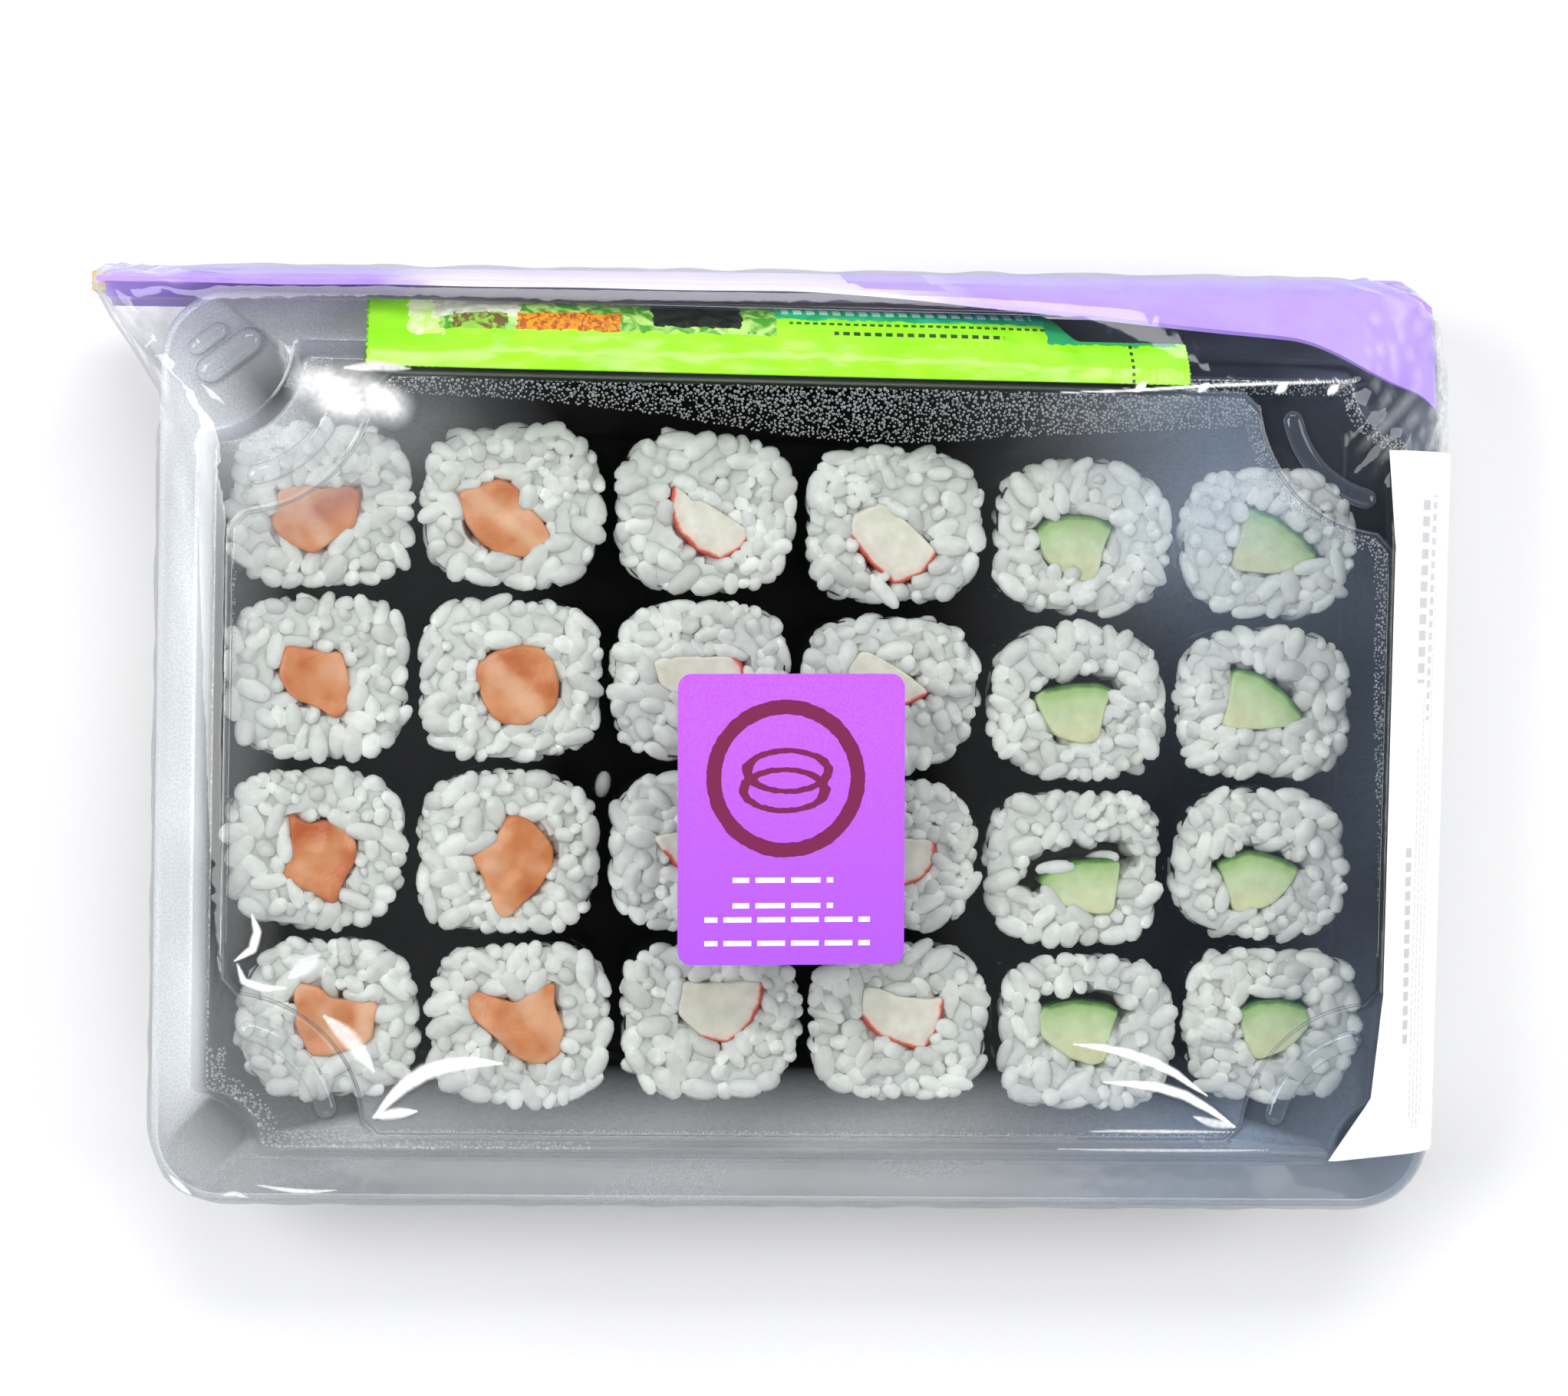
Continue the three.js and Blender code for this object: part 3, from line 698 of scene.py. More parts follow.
@dataclass(frozen=True)
class Rind(Finish):
    """A filling with a coloured rind: its "rind" says how many millimetres a point is from it."""

    name: str = "rind"
    stops: tuple[tuple[float, str], ...] = ()
    reach: float = 8.0
    fibre: float = 0.9
    wander: float = 0.5
    roughness: float = 0.4

    def build(self, nodes: Nodes, where: Socket) -> Socket:
        """Adds the material's nodes.

        Args:
            nodes: The material's nodes so far.
            where: The piece's Object coordinates.

        Returns:
            The surface's shader.
        """
        stored = nodes.add("Attribute", out="Fac", attribute_name="rind")
        lump = nodes.add("TexNoise", {"Vector": where, "Scale": 1 / (1.4 * MM), "Detail": 3})
        wander = {0: lump, 1: 2 * self.wander, 2: stored}
        moved = nodes.add("Math", wander, operation="MULTIPLY_ADD")
        share = nodes.add("MapRange", {0: moved, 1: self.wander, 2: self.reach + self.wander})
        stops = [(at / self.reach, colour) for at, colour in self.stops]
        tone = nodes.add("ValToRGB", {0: share}, stops=stops)
        mottle = nodes.add("TexNoise", {"Vector": where, "Scale": 1 / (2.2 * MM), "Detail": 3})
        shade = nodes.add("ValToRGB", {0: mottle}, stops=[(0.3, "#d4d2cc"), (0.7, "#ffffff")])
        fibre = {"Vector": where, "Scale": 1 / (self.fibre * MM), "Detail": 3}
        flesh = nodes.add("TexNoise", fibre)
        mixed = {0: 0.5, 6: tone, 7: shade}
        tone = nodes.add("Mix", mixed, 2, data_type="RGBA", blend_type="MULTIPLY")
        soft = {
            "Subsurface Weight": 0.3,
            "Subsurface Radius": (1.0, 0.9, 0.6),
            "Subsurface Scale": 1.0 * MM,
        }
        return self.opaque(nodes, tone, self.roughness, flesh, 0.08, soft)


@dataclass(frozen=True)
class Water(Finish):
    """Condensed water: small clear lenses with rims painted white for light from the sides."""

    name: str = "condensed_water"

    def build(self, nodes: Nodes, where: Socket) -> Socket:
        """Adds the material's nodes.

        Args:
            nodes: The material's nodes so far.
            where: The piece's Object coordinates.

        Returns:
            The surface's shader.
        """
        facing = nodes.add("LayerWeight", {"Blend": 0.5}, "Facing")
        share = nodes.add("MapRange", {0: facing, 1: 0.1, 2: 0.75, 3: 0.05, 4: 0.7})
        lens = nodes.add("BsdfTransparent", {"Color": "#f4f6f8"})
        # A white diffuse rim: painted light, standing in for what the lenses gather from the
        # sides.
        rim = nodes.add("BsdfDiffuse", {"Color": "#ffffff"})
        body = nodes.add("MixShader", {0: share, 1: lens, 2: rim})
        gloss = nodes.add("BsdfGlossy", {"Roughness": 0.08})
        return nodes.add("MixShader", {0: 0.12, 1: body, 2: gloss})


@dataclass(frozen=True)
class Birch(Finish):
    """Sawn birch: pale yellow-brown with fine long fibres and no varnish."""

    name: str = "sawn_birch"

    def build(self, nodes: Nodes, where: Socket) -> Socket:
        """Adds the material's nodes.

        Args:
            nodes: The material's nodes so far.
            where: The piece's Object coordinates.

        Returns:
            The surface's shader.
        """
        long = nodes.add("Mapping", {0: where, "Scale": (0.04, 1, 1)})
        fibre = nodes.add("TexNoise", {"Vector": long, "Scale": 1 / (0.6 * MM), "Detail": 4})
        stops = [(0.3, "#b98a45"), (0.55, "#d6ad68"), (0.8, "#e3c287")]
        tone = nodes.add("ValToRGB", {0: fibre}, stops=stops)
        return self.opaque(nodes, tone, 0.68, fibre, 0.08)


class Printed(Finish):
    """A printed sheet, on which plain fields and dashes are laid in millimetres."""

    def field(
        self,
        nodes: Nodes,
        tone: Socket,
        axes: tuple,
        edges: tuple,
        ink: Socket | str,
        dashes: tuple = (),
    ) -> Socket:
        """Prints a field between two edges on each axis, broken into dashes along one axis.

        Args:
            nodes: The material's nodes.
            tone: The colour that the field is printed on.
            axes: The sockets of the two axes.
            edges: The field's low and high edge on the first axis, then on the second.
            ink: The field's colour.
            dashes: Which axis they follow, how far apart they are and how much each fills.

        Returns:
            The colour with the field on it.
        """
        masks = []
        for axis, low, high in zip(axes, edges[::2], edges[1::2]):
            span = {0: axis, 1: (low + high) / 2, 2: (high - low) / 2}
            masks.append(nodes.add("Math", span, operation="COMPARE"))
        if dashes:
            along, pitch, filled = dashes
            steps = nodes.add("Math", {0: axes[along], 1: pitch}, operation="DIVIDE")
            phase = nodes.add("Math", {0: steps}, operation="FRACT")
            masks.append(nodes.add("Math", {0: phase, 1: filled}, operation="LESS_THAN"))
        mask = masks[0]
        for other in masks[1:]:
            mask = nodes.add("Math", {0: mask, 1: other}, operation="MULTIPLY")
        return nodes.add("Mix", {0: mask, 6: tone, 7: ink}, 2, data_type="RGBA")


@dataclass(frozen=True)
class SleevePaper(Printed):
    """Violet coated paper: soft sheen, a fine fibre, a pale stretch and two darker patches."""

    name: str = "violet_coated_paper"
    # The pale stretch is a painted reflection of the film over the violet paper.
    pale: Point = (-64.0, 14.0)
    fade: Point = (14.0, 20.0)
    slant: Point = (0.9, 67.0)
    patches: tuple = ((7.0, 20.5, 74.5, 90.0), (24.0, 29.5, 71.5, 76.5))

    def build(self, nodes: Nodes, where: Socket) -> Socket:
        """Adds the material's nodes.

        Args:
            nodes: The material's nodes so far.
            where: The piece's Object coordinates.

        Returns:
            The surface's shader.
        """
        scaled = nodes.add("Mapping", {0: where, "Scale": IN_MM})
        axes = nodes.add("SeparateXYZ", {0: scaled}).node.outputs
        mottle = nodes.add("TexNoise", {"Vector": scaled, "Scale": 1 / 9, "Detail": 3})
        tone = nodes.add("ValToRGB", {0: mottle}, stops=[(0.3, "#a985f0"), (0.7, "#b499f5")])
        wander = nodes.add("Math", {0: mottle, 1: 14.0, 2: axes[0]}, operation="MULTIPLY_ADD")
        # The pale stretch is a painted reflection of the film, not the paper's own colour.
        (start, end), (rise, fall) = self.pale, self.fade
        pale = 0.85
        for low, high in ((start, start + rise), (end + fall, end)):
            ramp = {0: wander, 1: low, 2: high}
            edge = nodes.add("MapRange", ramp, interpolation_type="SMOOTHSTEP")
            pale = nodes.add("Math", {0: edge, 1: pale}, operation="MULTIPLY")
        tone = nodes.add("Mix", {0: pale, 6: tone, 7: "#efe6ff"}, 2, data_type="RGBA")
        lean, start = self.slant
        slanted = nodes.add("Math", {0: axes[1], 1: lean, 2: axes[0]}, operation="MULTIPLY_ADD")
        slanted = nodes.add("Math", {0: slanted, 1: start}, operation="SUBTRACT")
        for edges in self.patches:
            tone = self.field(nodes, tone, (slanted, axes[1]), edges, "#b08cf8")
        fibre = nodes.add("TexNoise", {"Vector": scaled, "Scale": 1 / 0.4})
        return self.opaque(nodes, tone, 0.42, fibre, 0.02)


@dataclass(frozen=True)
class SachetFilm(Printed):
    """Printed laminate: glossy lime green, a patch in leaf colours and a teal stripe.

    A field is its x and y edges, two colours and the size of the lumps that mix them. A
    row of dashes is its edges, the dashes' pitch and share, and a colour. fray is how far
    the fields' edges wander in x and in y.
    """

    name: str = "printed_laminate_film"
    fields: tuple = (
        # This field's near-white lumps, just inside the left crimp, are painted highlights on
        # wrinkles.
        (-64.5, -58.5, 65.6, 80.0, "#c9f07a", "#eef4cf", 3.0),
        (-59.5, -7.0, 66.6, 80.0, "#4d9c2c", "#b9e27c", 2.6),
        (-60.5, -47.0, 68.6, 80.0, "#c9cdb8", "#e9ecd8", 2.0),
        (-57.5, -49.0, 66.6, 69.2, "#6f5a2c", "#8ec24a", 1.6),
        (-47.5, -31.5, 66.6, 69.4, "#f09a1e", "#a8562a", 0.9),
        (-26.5, -12.5, 67.6, 80.0, "#121412", "#2a2f2a", 3.0),
        (-7.0, 37.0, 69.4, 80.0, "#1fae6c", "#3cc08e", 5.0),
        (36.0, 57.0, 66.4, 80.0, "#3fae58", "#2aa276", 5.0),
    )
    rows: tuple = (
        (-6.0, 34.0, 70.2, 71.1, 2.1, 0.62, "#c9fbe6"),
        (-5.0, 36.0, 68.5, 68.9, 1.3, 0.6, "#3c5a14"),
        (2.0, 29.0, 66.9, 67.5, 1.7, 0.62, "#2c4412"),
    )
    cut: tuple = (49.0, 49.5, 60.0, 68.0)
    fray: Point = (2.4, 1.5)

    def build(self, nodes: Nodes, where: Socket) -> Socket:
        """Adds the material's nodes.

        Args:
            nodes: The material's nodes so far.
            where: The piece's Object coordinates.

        Returns:
            The surface's shader.
        """
        scaled = nodes.add("Mapping", {0: where, "Scale": IN_MM})
        straight = nodes.add("SeparateXYZ", {0: scaled}).node.outputs
        edge = nodes.add("TexNoise", {"Vector": scaled, "Scale": 1 / 1.8, "Detail": 3})
        to_x, to_y = self.fray
        wavy = [
            nodes.add("Math", {0: edge, 1: amount, 2: axis}, operation="MULTIPLY_ADD")
            for amount, axis in zip(self.fray, straight)
        ]
        mottle = nodes.add("TexNoise", {"Vector": scaled, "Scale": 1 / 7})
        tone = nodes.add("ValToRGB", {0: mottle}, stops=[(0.3, "#92e616"), (0.7, "#a4f22e")])
        for left, right, front, back, first, second, size in self.fields:
            edges = (left + to_x / 2, right + to_x / 2, front + to_y / 2, back + to_y / 2)
            lumps = {"Vector": scaled, "Scale": 1 / size, "Detail": 3, "Distortion": 0.8}
            stops = [(0.42, first), (0.58, second)]
            ink = nodes.add("ValToRGB", {0: nodes.add("TexNoise", lumps)}, stops=stops)
            tone = self.field(nodes, tone, wavy, edges, ink)
        for *edges, pitch, filled, colour in self.rows:
            tone = self.field(nodes, tone, straight, edges, colour, (0, pitch, filled))
        tone = self.field(nodes, tone, straight, self.cut, "#27361a", (1, 1.1, 0.5))
        long = nodes.add("Mapping", {0: scaled, "Scale": (0.5, 1, 1)})
        fold = nodes.add("TexNoise", {"Vector": long, "Scale": 1 / 3, "Detail": 3})
        return self.opaque(nodes, tone, 0.25, fold, 0.18, {"IOR": 1.5})


@dataclass(frozen=True)
class SquareLabelPaper(Printed):
    """Violet self-adhesive paper with a brushed ring, two plain ovals and white dashes."""

    name: str = "violet_label_paper"
    middle: Point = (-3.5, -8.9)
    turn: float = 0.018
    ovals: tuple = (
        (-0.9, 6.4, 11.3, 11.2, 1.15),
        (-0.6, 7.6, 6.4, 3.2, 0.4),
        (-1.1, 4.6, 6.4, 3.2, 0.4),
    )
    rows: tuple = (
        (-9.2, 6.6, -9.9, -9.1, 5.6),
        (-9.2, 6.6, -13.9, -13.1, 5.6),
        (-13.6, 12.4, -16.1, -15.3, 5.3),
        (-13.6, 12.4, -19.8, -19.0, 5.3),
    )

    def build(self, nodes: Nodes, where: Socket) -> Socket:
        """Adds the material's nodes.

        Args:
            nodes: The material's nodes so far.
            where: The piece's Object coordinates.

        Returns:
            The surface's shader.
        """
        shift = (-self.middle[0], -self.middle[1], 0)
        scaled = nodes.add("Mapping", {0: where, "Scale": IN_MM, "Location": shift})
        turned = {"Vector": scaled, "Angle": -self.turn}
        flat = nodes.add("VectorRotate", turned, rotation_type="Z_AXIS")
        x, y, _ = nodes.add("SeparateXYZ", {0: flat}).node.outputs
        speck = nodes.add("TexNoise", {"Vector": scaled, "Scale": 1 / 0.35, "Detail": 1})
        tone = nodes.add("ValToRGB", {0: speck}, stops=[(0.3, "#a74bdd"), (0.7, "#b458e7")])
        down = nodes.add("MapRange", {0: y, 1: 14, 2: -22})
        tone = nodes.add("Mix", {0: down, 6: tone, 7: "#9e4be4"}, 2, data_type="RGBA")
        brush = nodes.add("TexNoise", {"Vector": scaled, "Scale": 1 / 1.3, "Detail": 3})
        for to_x, to_y, half_x, half_y, stroke in self.ovals:
            middle = (-to_x / half_x, -to_y / half_y, 0)
            size = (1 / half_x, 1 / half_y, 0)
            place = nodes.add("Mapping", {0: flat, "Location": middle, "Scale": size})
            reach = nodes.add("VectorMath", {0: place}, "Value", operation="LENGTH")
            fray = {0: brush, 1: 0.5 / half_y, 2: reach}
            frayed = nodes.add("Math", fray, operation="MULTIPLY_ADD")
            ring = {0: frayed, 1: 1 + 0.25 / half_y, 2: stroke / half_y}
            line = nodes.add("Math", ring, operation="COMPARE")
            tone = nodes.add("Mix", {0: line, 6: tone, 7: "#6a003e"}, 2, data_type="RGBA")
        for *edges, pitch in self.rows:
            tone = self.field(nodes, tone, (x, y), edges, "#f4f0f8", (0, pitch, 0.82))
        return self.opaque(nodes, tone, 0.5, speck, 0.02)


@dataclass(frozen=True)
class ThermalPaper(Printed):
    """White thermal paper with faint grey rows of plain dashes along it."""

    name: str = "white_thermal_paper"
    rows: tuple = (
        (96.4, 97.9, 14.0, 44.0, 2.6, 0.62, "#c2c3c6"),
        (98.5, 99.4, 8.0, 44.0, 1.9, 0.6, "#c8c9cc"),
        (95.0, 96.2, -44.0, -12.0, 2.3, 0.66, "#c0c1c4"),
        (97.0, 97.3, -56.0, 4.0, 1.3, 0.7, "#cfd0d3"),
        (97.9, 98.2, -58.0, 12.0, 1.1, 0.7, "#cfd0d3"),
        (98.8, 99.1, -58.0, 2.0, 1.4, 0.7, "#cfd0d3"),
        (99.7, 100.0, -56.0, 30.0, 1.2, 0.7, "#d3d4d7"),
    )

    def build(self, nodes: Nodes, where: Socket) -> Socket:
        """Adds the material's nodes.

        Args:
            nodes: The material's nodes so far.
            where: The piece's Object coordinates.

        Returns:
            The surface's shader.
        """
        scaled = nodes.add("Mapping", {0: where, "Scale": IN_MM})
        x, y, _ = nodes.add("SeparateXYZ", {0: scaled}).node.outputs
        mottle = nodes.add("TexNoise", {"Vector": scaled, "Scale": 1 / 7})
        tone = nodes.add("ValToRGB", {0: mottle}, stops=[(0.3, "#eeeeef"), (0.7, "#f4f4f4")])
        square = nodes.add("Math", {0: y, 1: 2.0}, operation="POWER")
        bowed = nodes.add("Math", {0: square, 1: -0.0002, 2: x}, operation="MULTIPLY_ADD")
        for *edges, pitch, filled, colour in self.rows:
            tone = self.field(nodes, tone, (bowed, y), edges, colour, (1, pitch, filled))
        fold = nodes.add("TexNoise", {"Vector": scaled, "Scale": 1 / 6})
        return self.opaque(nodes, tone, 0.5, fold, 0.15)


LID_PLASTIC = Clear(
    "clear_pet_thermoformed",
    mirror=0.035,
    roughness=0.04,
    waves=(22, 0.06),
    creases=(4, 0.01),
    # The bluish colour at the right is a painted reflection of cool light.
    milk_and_painted_light=("#eef0f3", "#bccde6"),
)
STRETCH_FILM = Clear(
    "stretch_film_pvc",
    mirror=0.032,
    most=0.3,
    roughness=0.05,
    waves=(26, 0.2),
    creases=(3, 0.05),
    specks=0.8,
    rim="#c9ccd1",
    milk_and_painted_light=("#ffffff", "#ffffff"),
)
CRAB_STICK = Rind(
    "surimi_crab_stick",
    ((0, "#c93b28"), (0.4, "#e0614a"), (0.8, "#ecd9cb"), (2.2, "#ece7d9"), (8, "#e9e4d2")),
    wander=0.35,
    fibre=0.6,
)
CUCUMBER = Rind(
    "cut_cucumber",
    (
        *((0, "#24481c"), (0.45, "#4d7f35"), (1.0, "#a3c47e")),
        *((2.6, "#c4d8a2"), (5.0, "#d3dfb4"), (8, "#dcdcb0")),
    ),
    wander=0.3,
    fibre=1.3,
    roughness=0.3,
)


# ------------------------------------------------------------------ outlines


@dataclass(frozen=True)
class Outline:
    """A rectangle from above with rounded or notched corners.

    Its sizes are half lengths. A notch is a bite round the corner's own point, with a
    wider one in the snap corner, at the left of the back. tip cuts a notch's ends back.
    """

    half_x: float
    half_y: float
    round: float = 0.0
    notch: float = 0.0
    snap_notch: float = 0.0
    tip: float = 0.0
    steps: int = 16
    parts: int = 12

    def points(self, inset: float = 0.0) -> list[Point]:
        """Goes round the outline, anticlockwise from the right of the back.

        Args:
            inset: How far the outline moves in.

        Returns:
            As many points for every outline with the same steps and parts.
        """
        corners = self._corners(inset)
        around: list[Point] = []
        for corner, after in zip(corners, corners[1:] + corners[:1]):
            (x1, y1), (x2, y2) = corner[-1], after[0]
            shares = [k / self.parts for k in range(1, self.parts)]
            around += corner + [(x1 + (x2 - x1) * s, y1 + (y2 - y1) * s) for s in shares]
        return around

    def _corners(self, inset: float) -> list[list[Point]]:
        """Gives the points of each of the four corners.

        Args:
            inset: How far the outline is set in.

        Returns:
            The points of each corner in turn.
        """
        corners: list[list[Point]] = []
        x, y = self.half_x - inset, self.half_y - inset
        for number, (side, end) in enumerate(((1, 1), (-1, 1), (-1, -1), (1, -1))):
            if self.notch:
                wide = self.snap_notch if number == 1 and self.snap_notch else self.notch
                radius = wide - inset * (math.sqrt(2) - 1)
                corners.append(self._notch(side, end, number, x, y, radius))
                continue
            radius = max(self.round - inset, 0.5)
            middle = (side * (x - radius), end * (y - radius))
            turns = [math.pi / 2 * (number + k / self.steps) for k in range(self.steps + 1)]
            arc = [(radius * math.cos(turn), radius * math.sin(turn)) for turn in turns]
            corners.append([(middle[0] + u, middle[1] + v) for u, v in arc])
        return corners

    def _notch(
        self, side: int, end: int, number: int, x: float, y: float, radius: float
    ) -> list[Point]:
        """Goes round one notch, with its two cut-back ends.

        Args:
            side: 1 at the right, -1 at the left.
            end: 1 at the back, -1 at the front.
            number: The corner's place in the order that the outline goes round.
            x: Half the outline's length.
            y: Half its width.
            radius: The notch's radius.

        Returns:
            The notch's points in the order that the outline goes round.
        """
        along = radius + self.tip
        cut = self.tip / radius / (math.pi / 2)
        arc = []
        for k in range(self.steps - 1):
            share = cut + (1 - 2 * cut) * k / (self.steps - 2)
            angle = math.pi / 2 * (number + 3 - share)
            arc.append((side * x + radius * math.cos(angle), end * y + radius * math.sin(angle)))
        ends = [(side * x, end * (y - along)), (side * (x - along), end * y)]
        return [ends[0], *arc, ends[1]] if side * end > 0 else [ends[1], *arc, ends[0]]

    def at(self, z: float, inset: float = 0.0) -> list[tuple]:
        """Gives the outline's points at a height."""
        return [(x, y, z) for x, y in self.points(inset)]


RIM = Outline(103, 72.1, round=11)
SHOULDER = Outline(94, 61.8, notch=8.9, snap_notch=13.6, tip=0.9)
PANEL = Outline(91, 59, notch=21.8, tip=2.4)
MOUTH = Outline(97.4, 65.6, round=12)
FLOOR = Outline(94, 60, round=9)
FOOT = Outline(85, 51, round=8)


# ------------------------------------------------------------------ tray and lid


@dataclass
class Tray:
    """The black tray: a flat foot, a raised border, leaning walls and a flange."""

    border_z: float = 1.3
    rim_z: float = 28.2
    wall: float = 0.9
    clearance: float = 1.05

    def build(self) -> Piece:
        """Extrudes the outside from the foot to the flange, and thickens it inwards.

        Returns:
            The tray.
        """
        border, rim, wall = self.border_z, self.rim_z, self.wall
        profile = (
            (FOOT, 0.0, 6),
            (FOOT, 0.0, 0.4),
            (FOOT, 0.15, 0.05),
            (FOOT, border - 0.15, -0.9),
            (FOOT, border, -1.1),
            (FLOOR, border, 1.3),
            (FLOOR, border + 0.35, 0.3),
            (FLOOR, border + 1.2, -0.4),
            (FLOOR, border + 3, -wall),
            (MOUTH, rim - 4, 0.5 - wall),
            (MOUTH, rim - 3.7, -wall - 0.2),
            (MOUTH, rim - wall - 0.6, -wall),
            (MOUTH, rim - wall, -wall - 0.6),
            (RIM, rim - wall, self.clearance),
        )
        rings = [outline.at(z, inset) for outline, z, inset in profile]
        piece = loft("tray_shell", rings, start=True, end=False)
        thicken(piece, wall * 0.8)
        smooth(piece, 35)
        BlackTray().dress(piece)
        return piece


@dataclass
class Lid:
    """The clear lid: skirt, flange, leaning wall, notched shoulder and raised panel.

    The left wall's milkiness is given at several places along y, and is partly misting and
    partly painted reflection of the light surroundings. Each patch of milkiness, partly
    painted reflection too, is its middle's x and y, its reach in x and in y, and how dense
    it is. The panel's step carries a painted highlight.
    """

    skirt_z: float = 26.0
    rim_z: float = 29.8
    shoulder_z: float = 41.8
    panel_z: float = 43.6
    wall: float = 0.45
    draft: float = 3.0
    edge: float = 0.8
    rib_radius: float = 16.3
    rib_width: float = 3.2
    rib_height: float = 1.1
    snap_bars: tuple = ((-92.4, 61.9, 12.0, 4.4, 1.9), (-95.8, 64.4, 7.0, 2.8, 1.3))
    snap_angle: float = 0.66
    step_highlight: float = 0.12
    left_mist_and_reflection: tuple = ((-60, -30, -2, 24, 40, 51, 62), (0.3, 0.22, 0.12, 0.25, 0.4, 0.55, 0.4))
    wall_patch: tuple = (-95, 52, 7, 6, 0.45)
    corner_patch: tuple = (-85, 52, 12, 12, 0.3)
    panel_patches: tuple = ((62, 50, 17, 26, 0.15), (-62, 51, 9, 8, 0.07))

    def rings(self) -> list[list[tuple]]:
        """Gives the lid's outside from the skirt's edge to the panel, with rounded edges.

        Returns:
            One ring of points for each height.
        """
        edge, rim, shoulder, panel = self.edge, self.rim_z, self.shoulder_z, self.panel_z
        turns = (0.5, 1.05)
        profile = (
            (RIM, self.skirt_z, 0.0),
            (RIM, rim - edge, 0.0),
            *((RIM, rim - edge * (1 - math.sin(a)), edge * (1 - math.cos(a))) for a in turns),
            (RIM, rim, edge),
            (SHOULDER, rim, -self.draft - 0.6),
            (SHOULDER, rim + 0.2, 0.1 - self.draft),
            (SHOULDER, rim + 0.7, 0.3 - self.draft),
            (SHOULDER, shoulder - 0.7, -0.15),
            (SHOULDER, shoulder - 0.2, 0.12),
            (SHOULDER, shoulder, 0.5),
            (SHOULDER, shoulder, 0.8),
            (PANEL, shoulder, -edge - 0.3),
            (PANEL, shoulder, -edge),
            (PANEL, shoulder + 0.25, -0.35),
            (PANEL, panel - 0.4, 0.0),
            (PANEL, panel - 0.1, 0.15),
            (PANEL, panel, 0.6),
            (PANEL, panel, 1.2),
        )
        rings = [outline.at(z, inset) for outline, z, inset in profile]
        last, shares = PANEL.at(panel, 2.0), np.arange(1, 0.04, -0.08)
        return rings + [[(x * share, y * share, z) for x, y, z in last] for share in shares]

    def ridge(self, line: list[Point], width: float, low: float, height: float) -> Piece:
        """Lofts a round-topped ridge along a line of points, with tapered ends.

        Args:
            line: Points along the ridge's middle.
            width: Its width.
            low: The height that it stands on.
            height: How high it rises.

        Returns:
            The ridge, open below.
        """
        spots = np.array(line)
        steps = np.gradient(spots, axis=0)
        steps /= np.linalg.norm(steps, axis=1, keepdims=True)
        across = np.stack([-steps[:, 1], steps[:, 0]], axis=1)
        rows = []
        last = len(line) - 1
        for i, (spot, side, step) in enumerate(zip(spots, across, steps)):
            leans = (-90, -60, -30, 0) if i == 0 else (0,) if i < last else (0, 30, 60, 90)
            for turn in map(math.radians, leans):
                small = max(math.cos(turn), 0.03)
                centre = spot + step * math.sin(turn) * width / 2
                row = []
                for k in range(9):
                    angle = math.pi * k / 8
                    flat = centre + side * (math.cos(angle) * width / 2 * small)
                    row.append((*flat, low + height * math.sin(angle) ** 0.7 * small**0.5))
                rows.append(row)
        return sheet("ridge", np.array(rows), flip=True)

    def build(self) -> Piece:
        """Extrudes the lid's skin, thickens it inwards and adds its ribs and snap bars.

        Returns:
            The lid.
        """
        shell = loft("lid_shell", self.rings(), start=False, end=True)
        thicken(shell, self.wall)
        parts = [shell]
        for side, end in ((1, 1), (-1, 1), (-1, -1), (1, -1)):
            line = []
            for angle in (math.pi / 2 * (0.15 + 0.7 * k / 24) for k in range(25)):
                x = PANEL.half_x - self.rib_radius * math.sin(angle)
                y = PANEL.half_y - self.rib_radius * math.cos(angle)
                line.append((side * x, end * y))
            parts.append(self.ridge(line, self.rib_width, self.shoulder_z, self.rib_height))
        way_x, way_y = math.cos(self.snap_angle), math.sin(self.snap_angle)
        for x, y, length, width, height in self.snap_bars:
            run = np.linspace(-0.5, 0.5, 9) * (length - width)
            line = [(x + way_x * s, y + way_y * s) for s in run]
            parts.append(self.ridge(line, width, self.rim_z, height))
        mist_and_highlights = [self.mist_and_painted_light(places(shell))]
        # Each rib's and snap bar's foot is whiter than the rest: painted highlights along their
        # edges.
        for part in parts[1:]:
            high = places(part)[:, 2]
            mist_and_highlights.append(0.05 + 0.17 * bend_step(high.min() + 0.75 - high, 0, 0.7))
        piece = joined("lid_shell", parts)
        smooth(piece, 50)
        note(piece, "haze_and_painted_light", np.concatenate(mist_and_highlights))
        LID_PLASTIC.dress(piece)
        return piece

    def mist_and_painted_light(self, spots: np.ndarray) -> np.ndarray:
        """Tells how misted each point is: most on the left wall, hardly on the panel.

        Args:
            spots: Points on the lid, in millimetres.

        Returns:
            The share of light that is scattered at each point. On the walls it is partly
            misting and partly painted reflection of the light surroundings, over the panel a
            faint veil that is partly painted reflection, and up the panel's step a painted
            highlight.
        """
        x, y, z = spots.T
        left, right = bend_step(-x, 92.5, 95.5), bend_step(x, 92.5, 95.5)
        front, back = bend_step(-y, 60, 63), bend_step(y, 60, 63)
        flange = bend_step(-z, -31, -30.2) * bend_step(-y, -52, -40) * bend_step(y, -64, -52)
        corner = bend_step(np.abs(x) + np.abs(y), 138, 146)
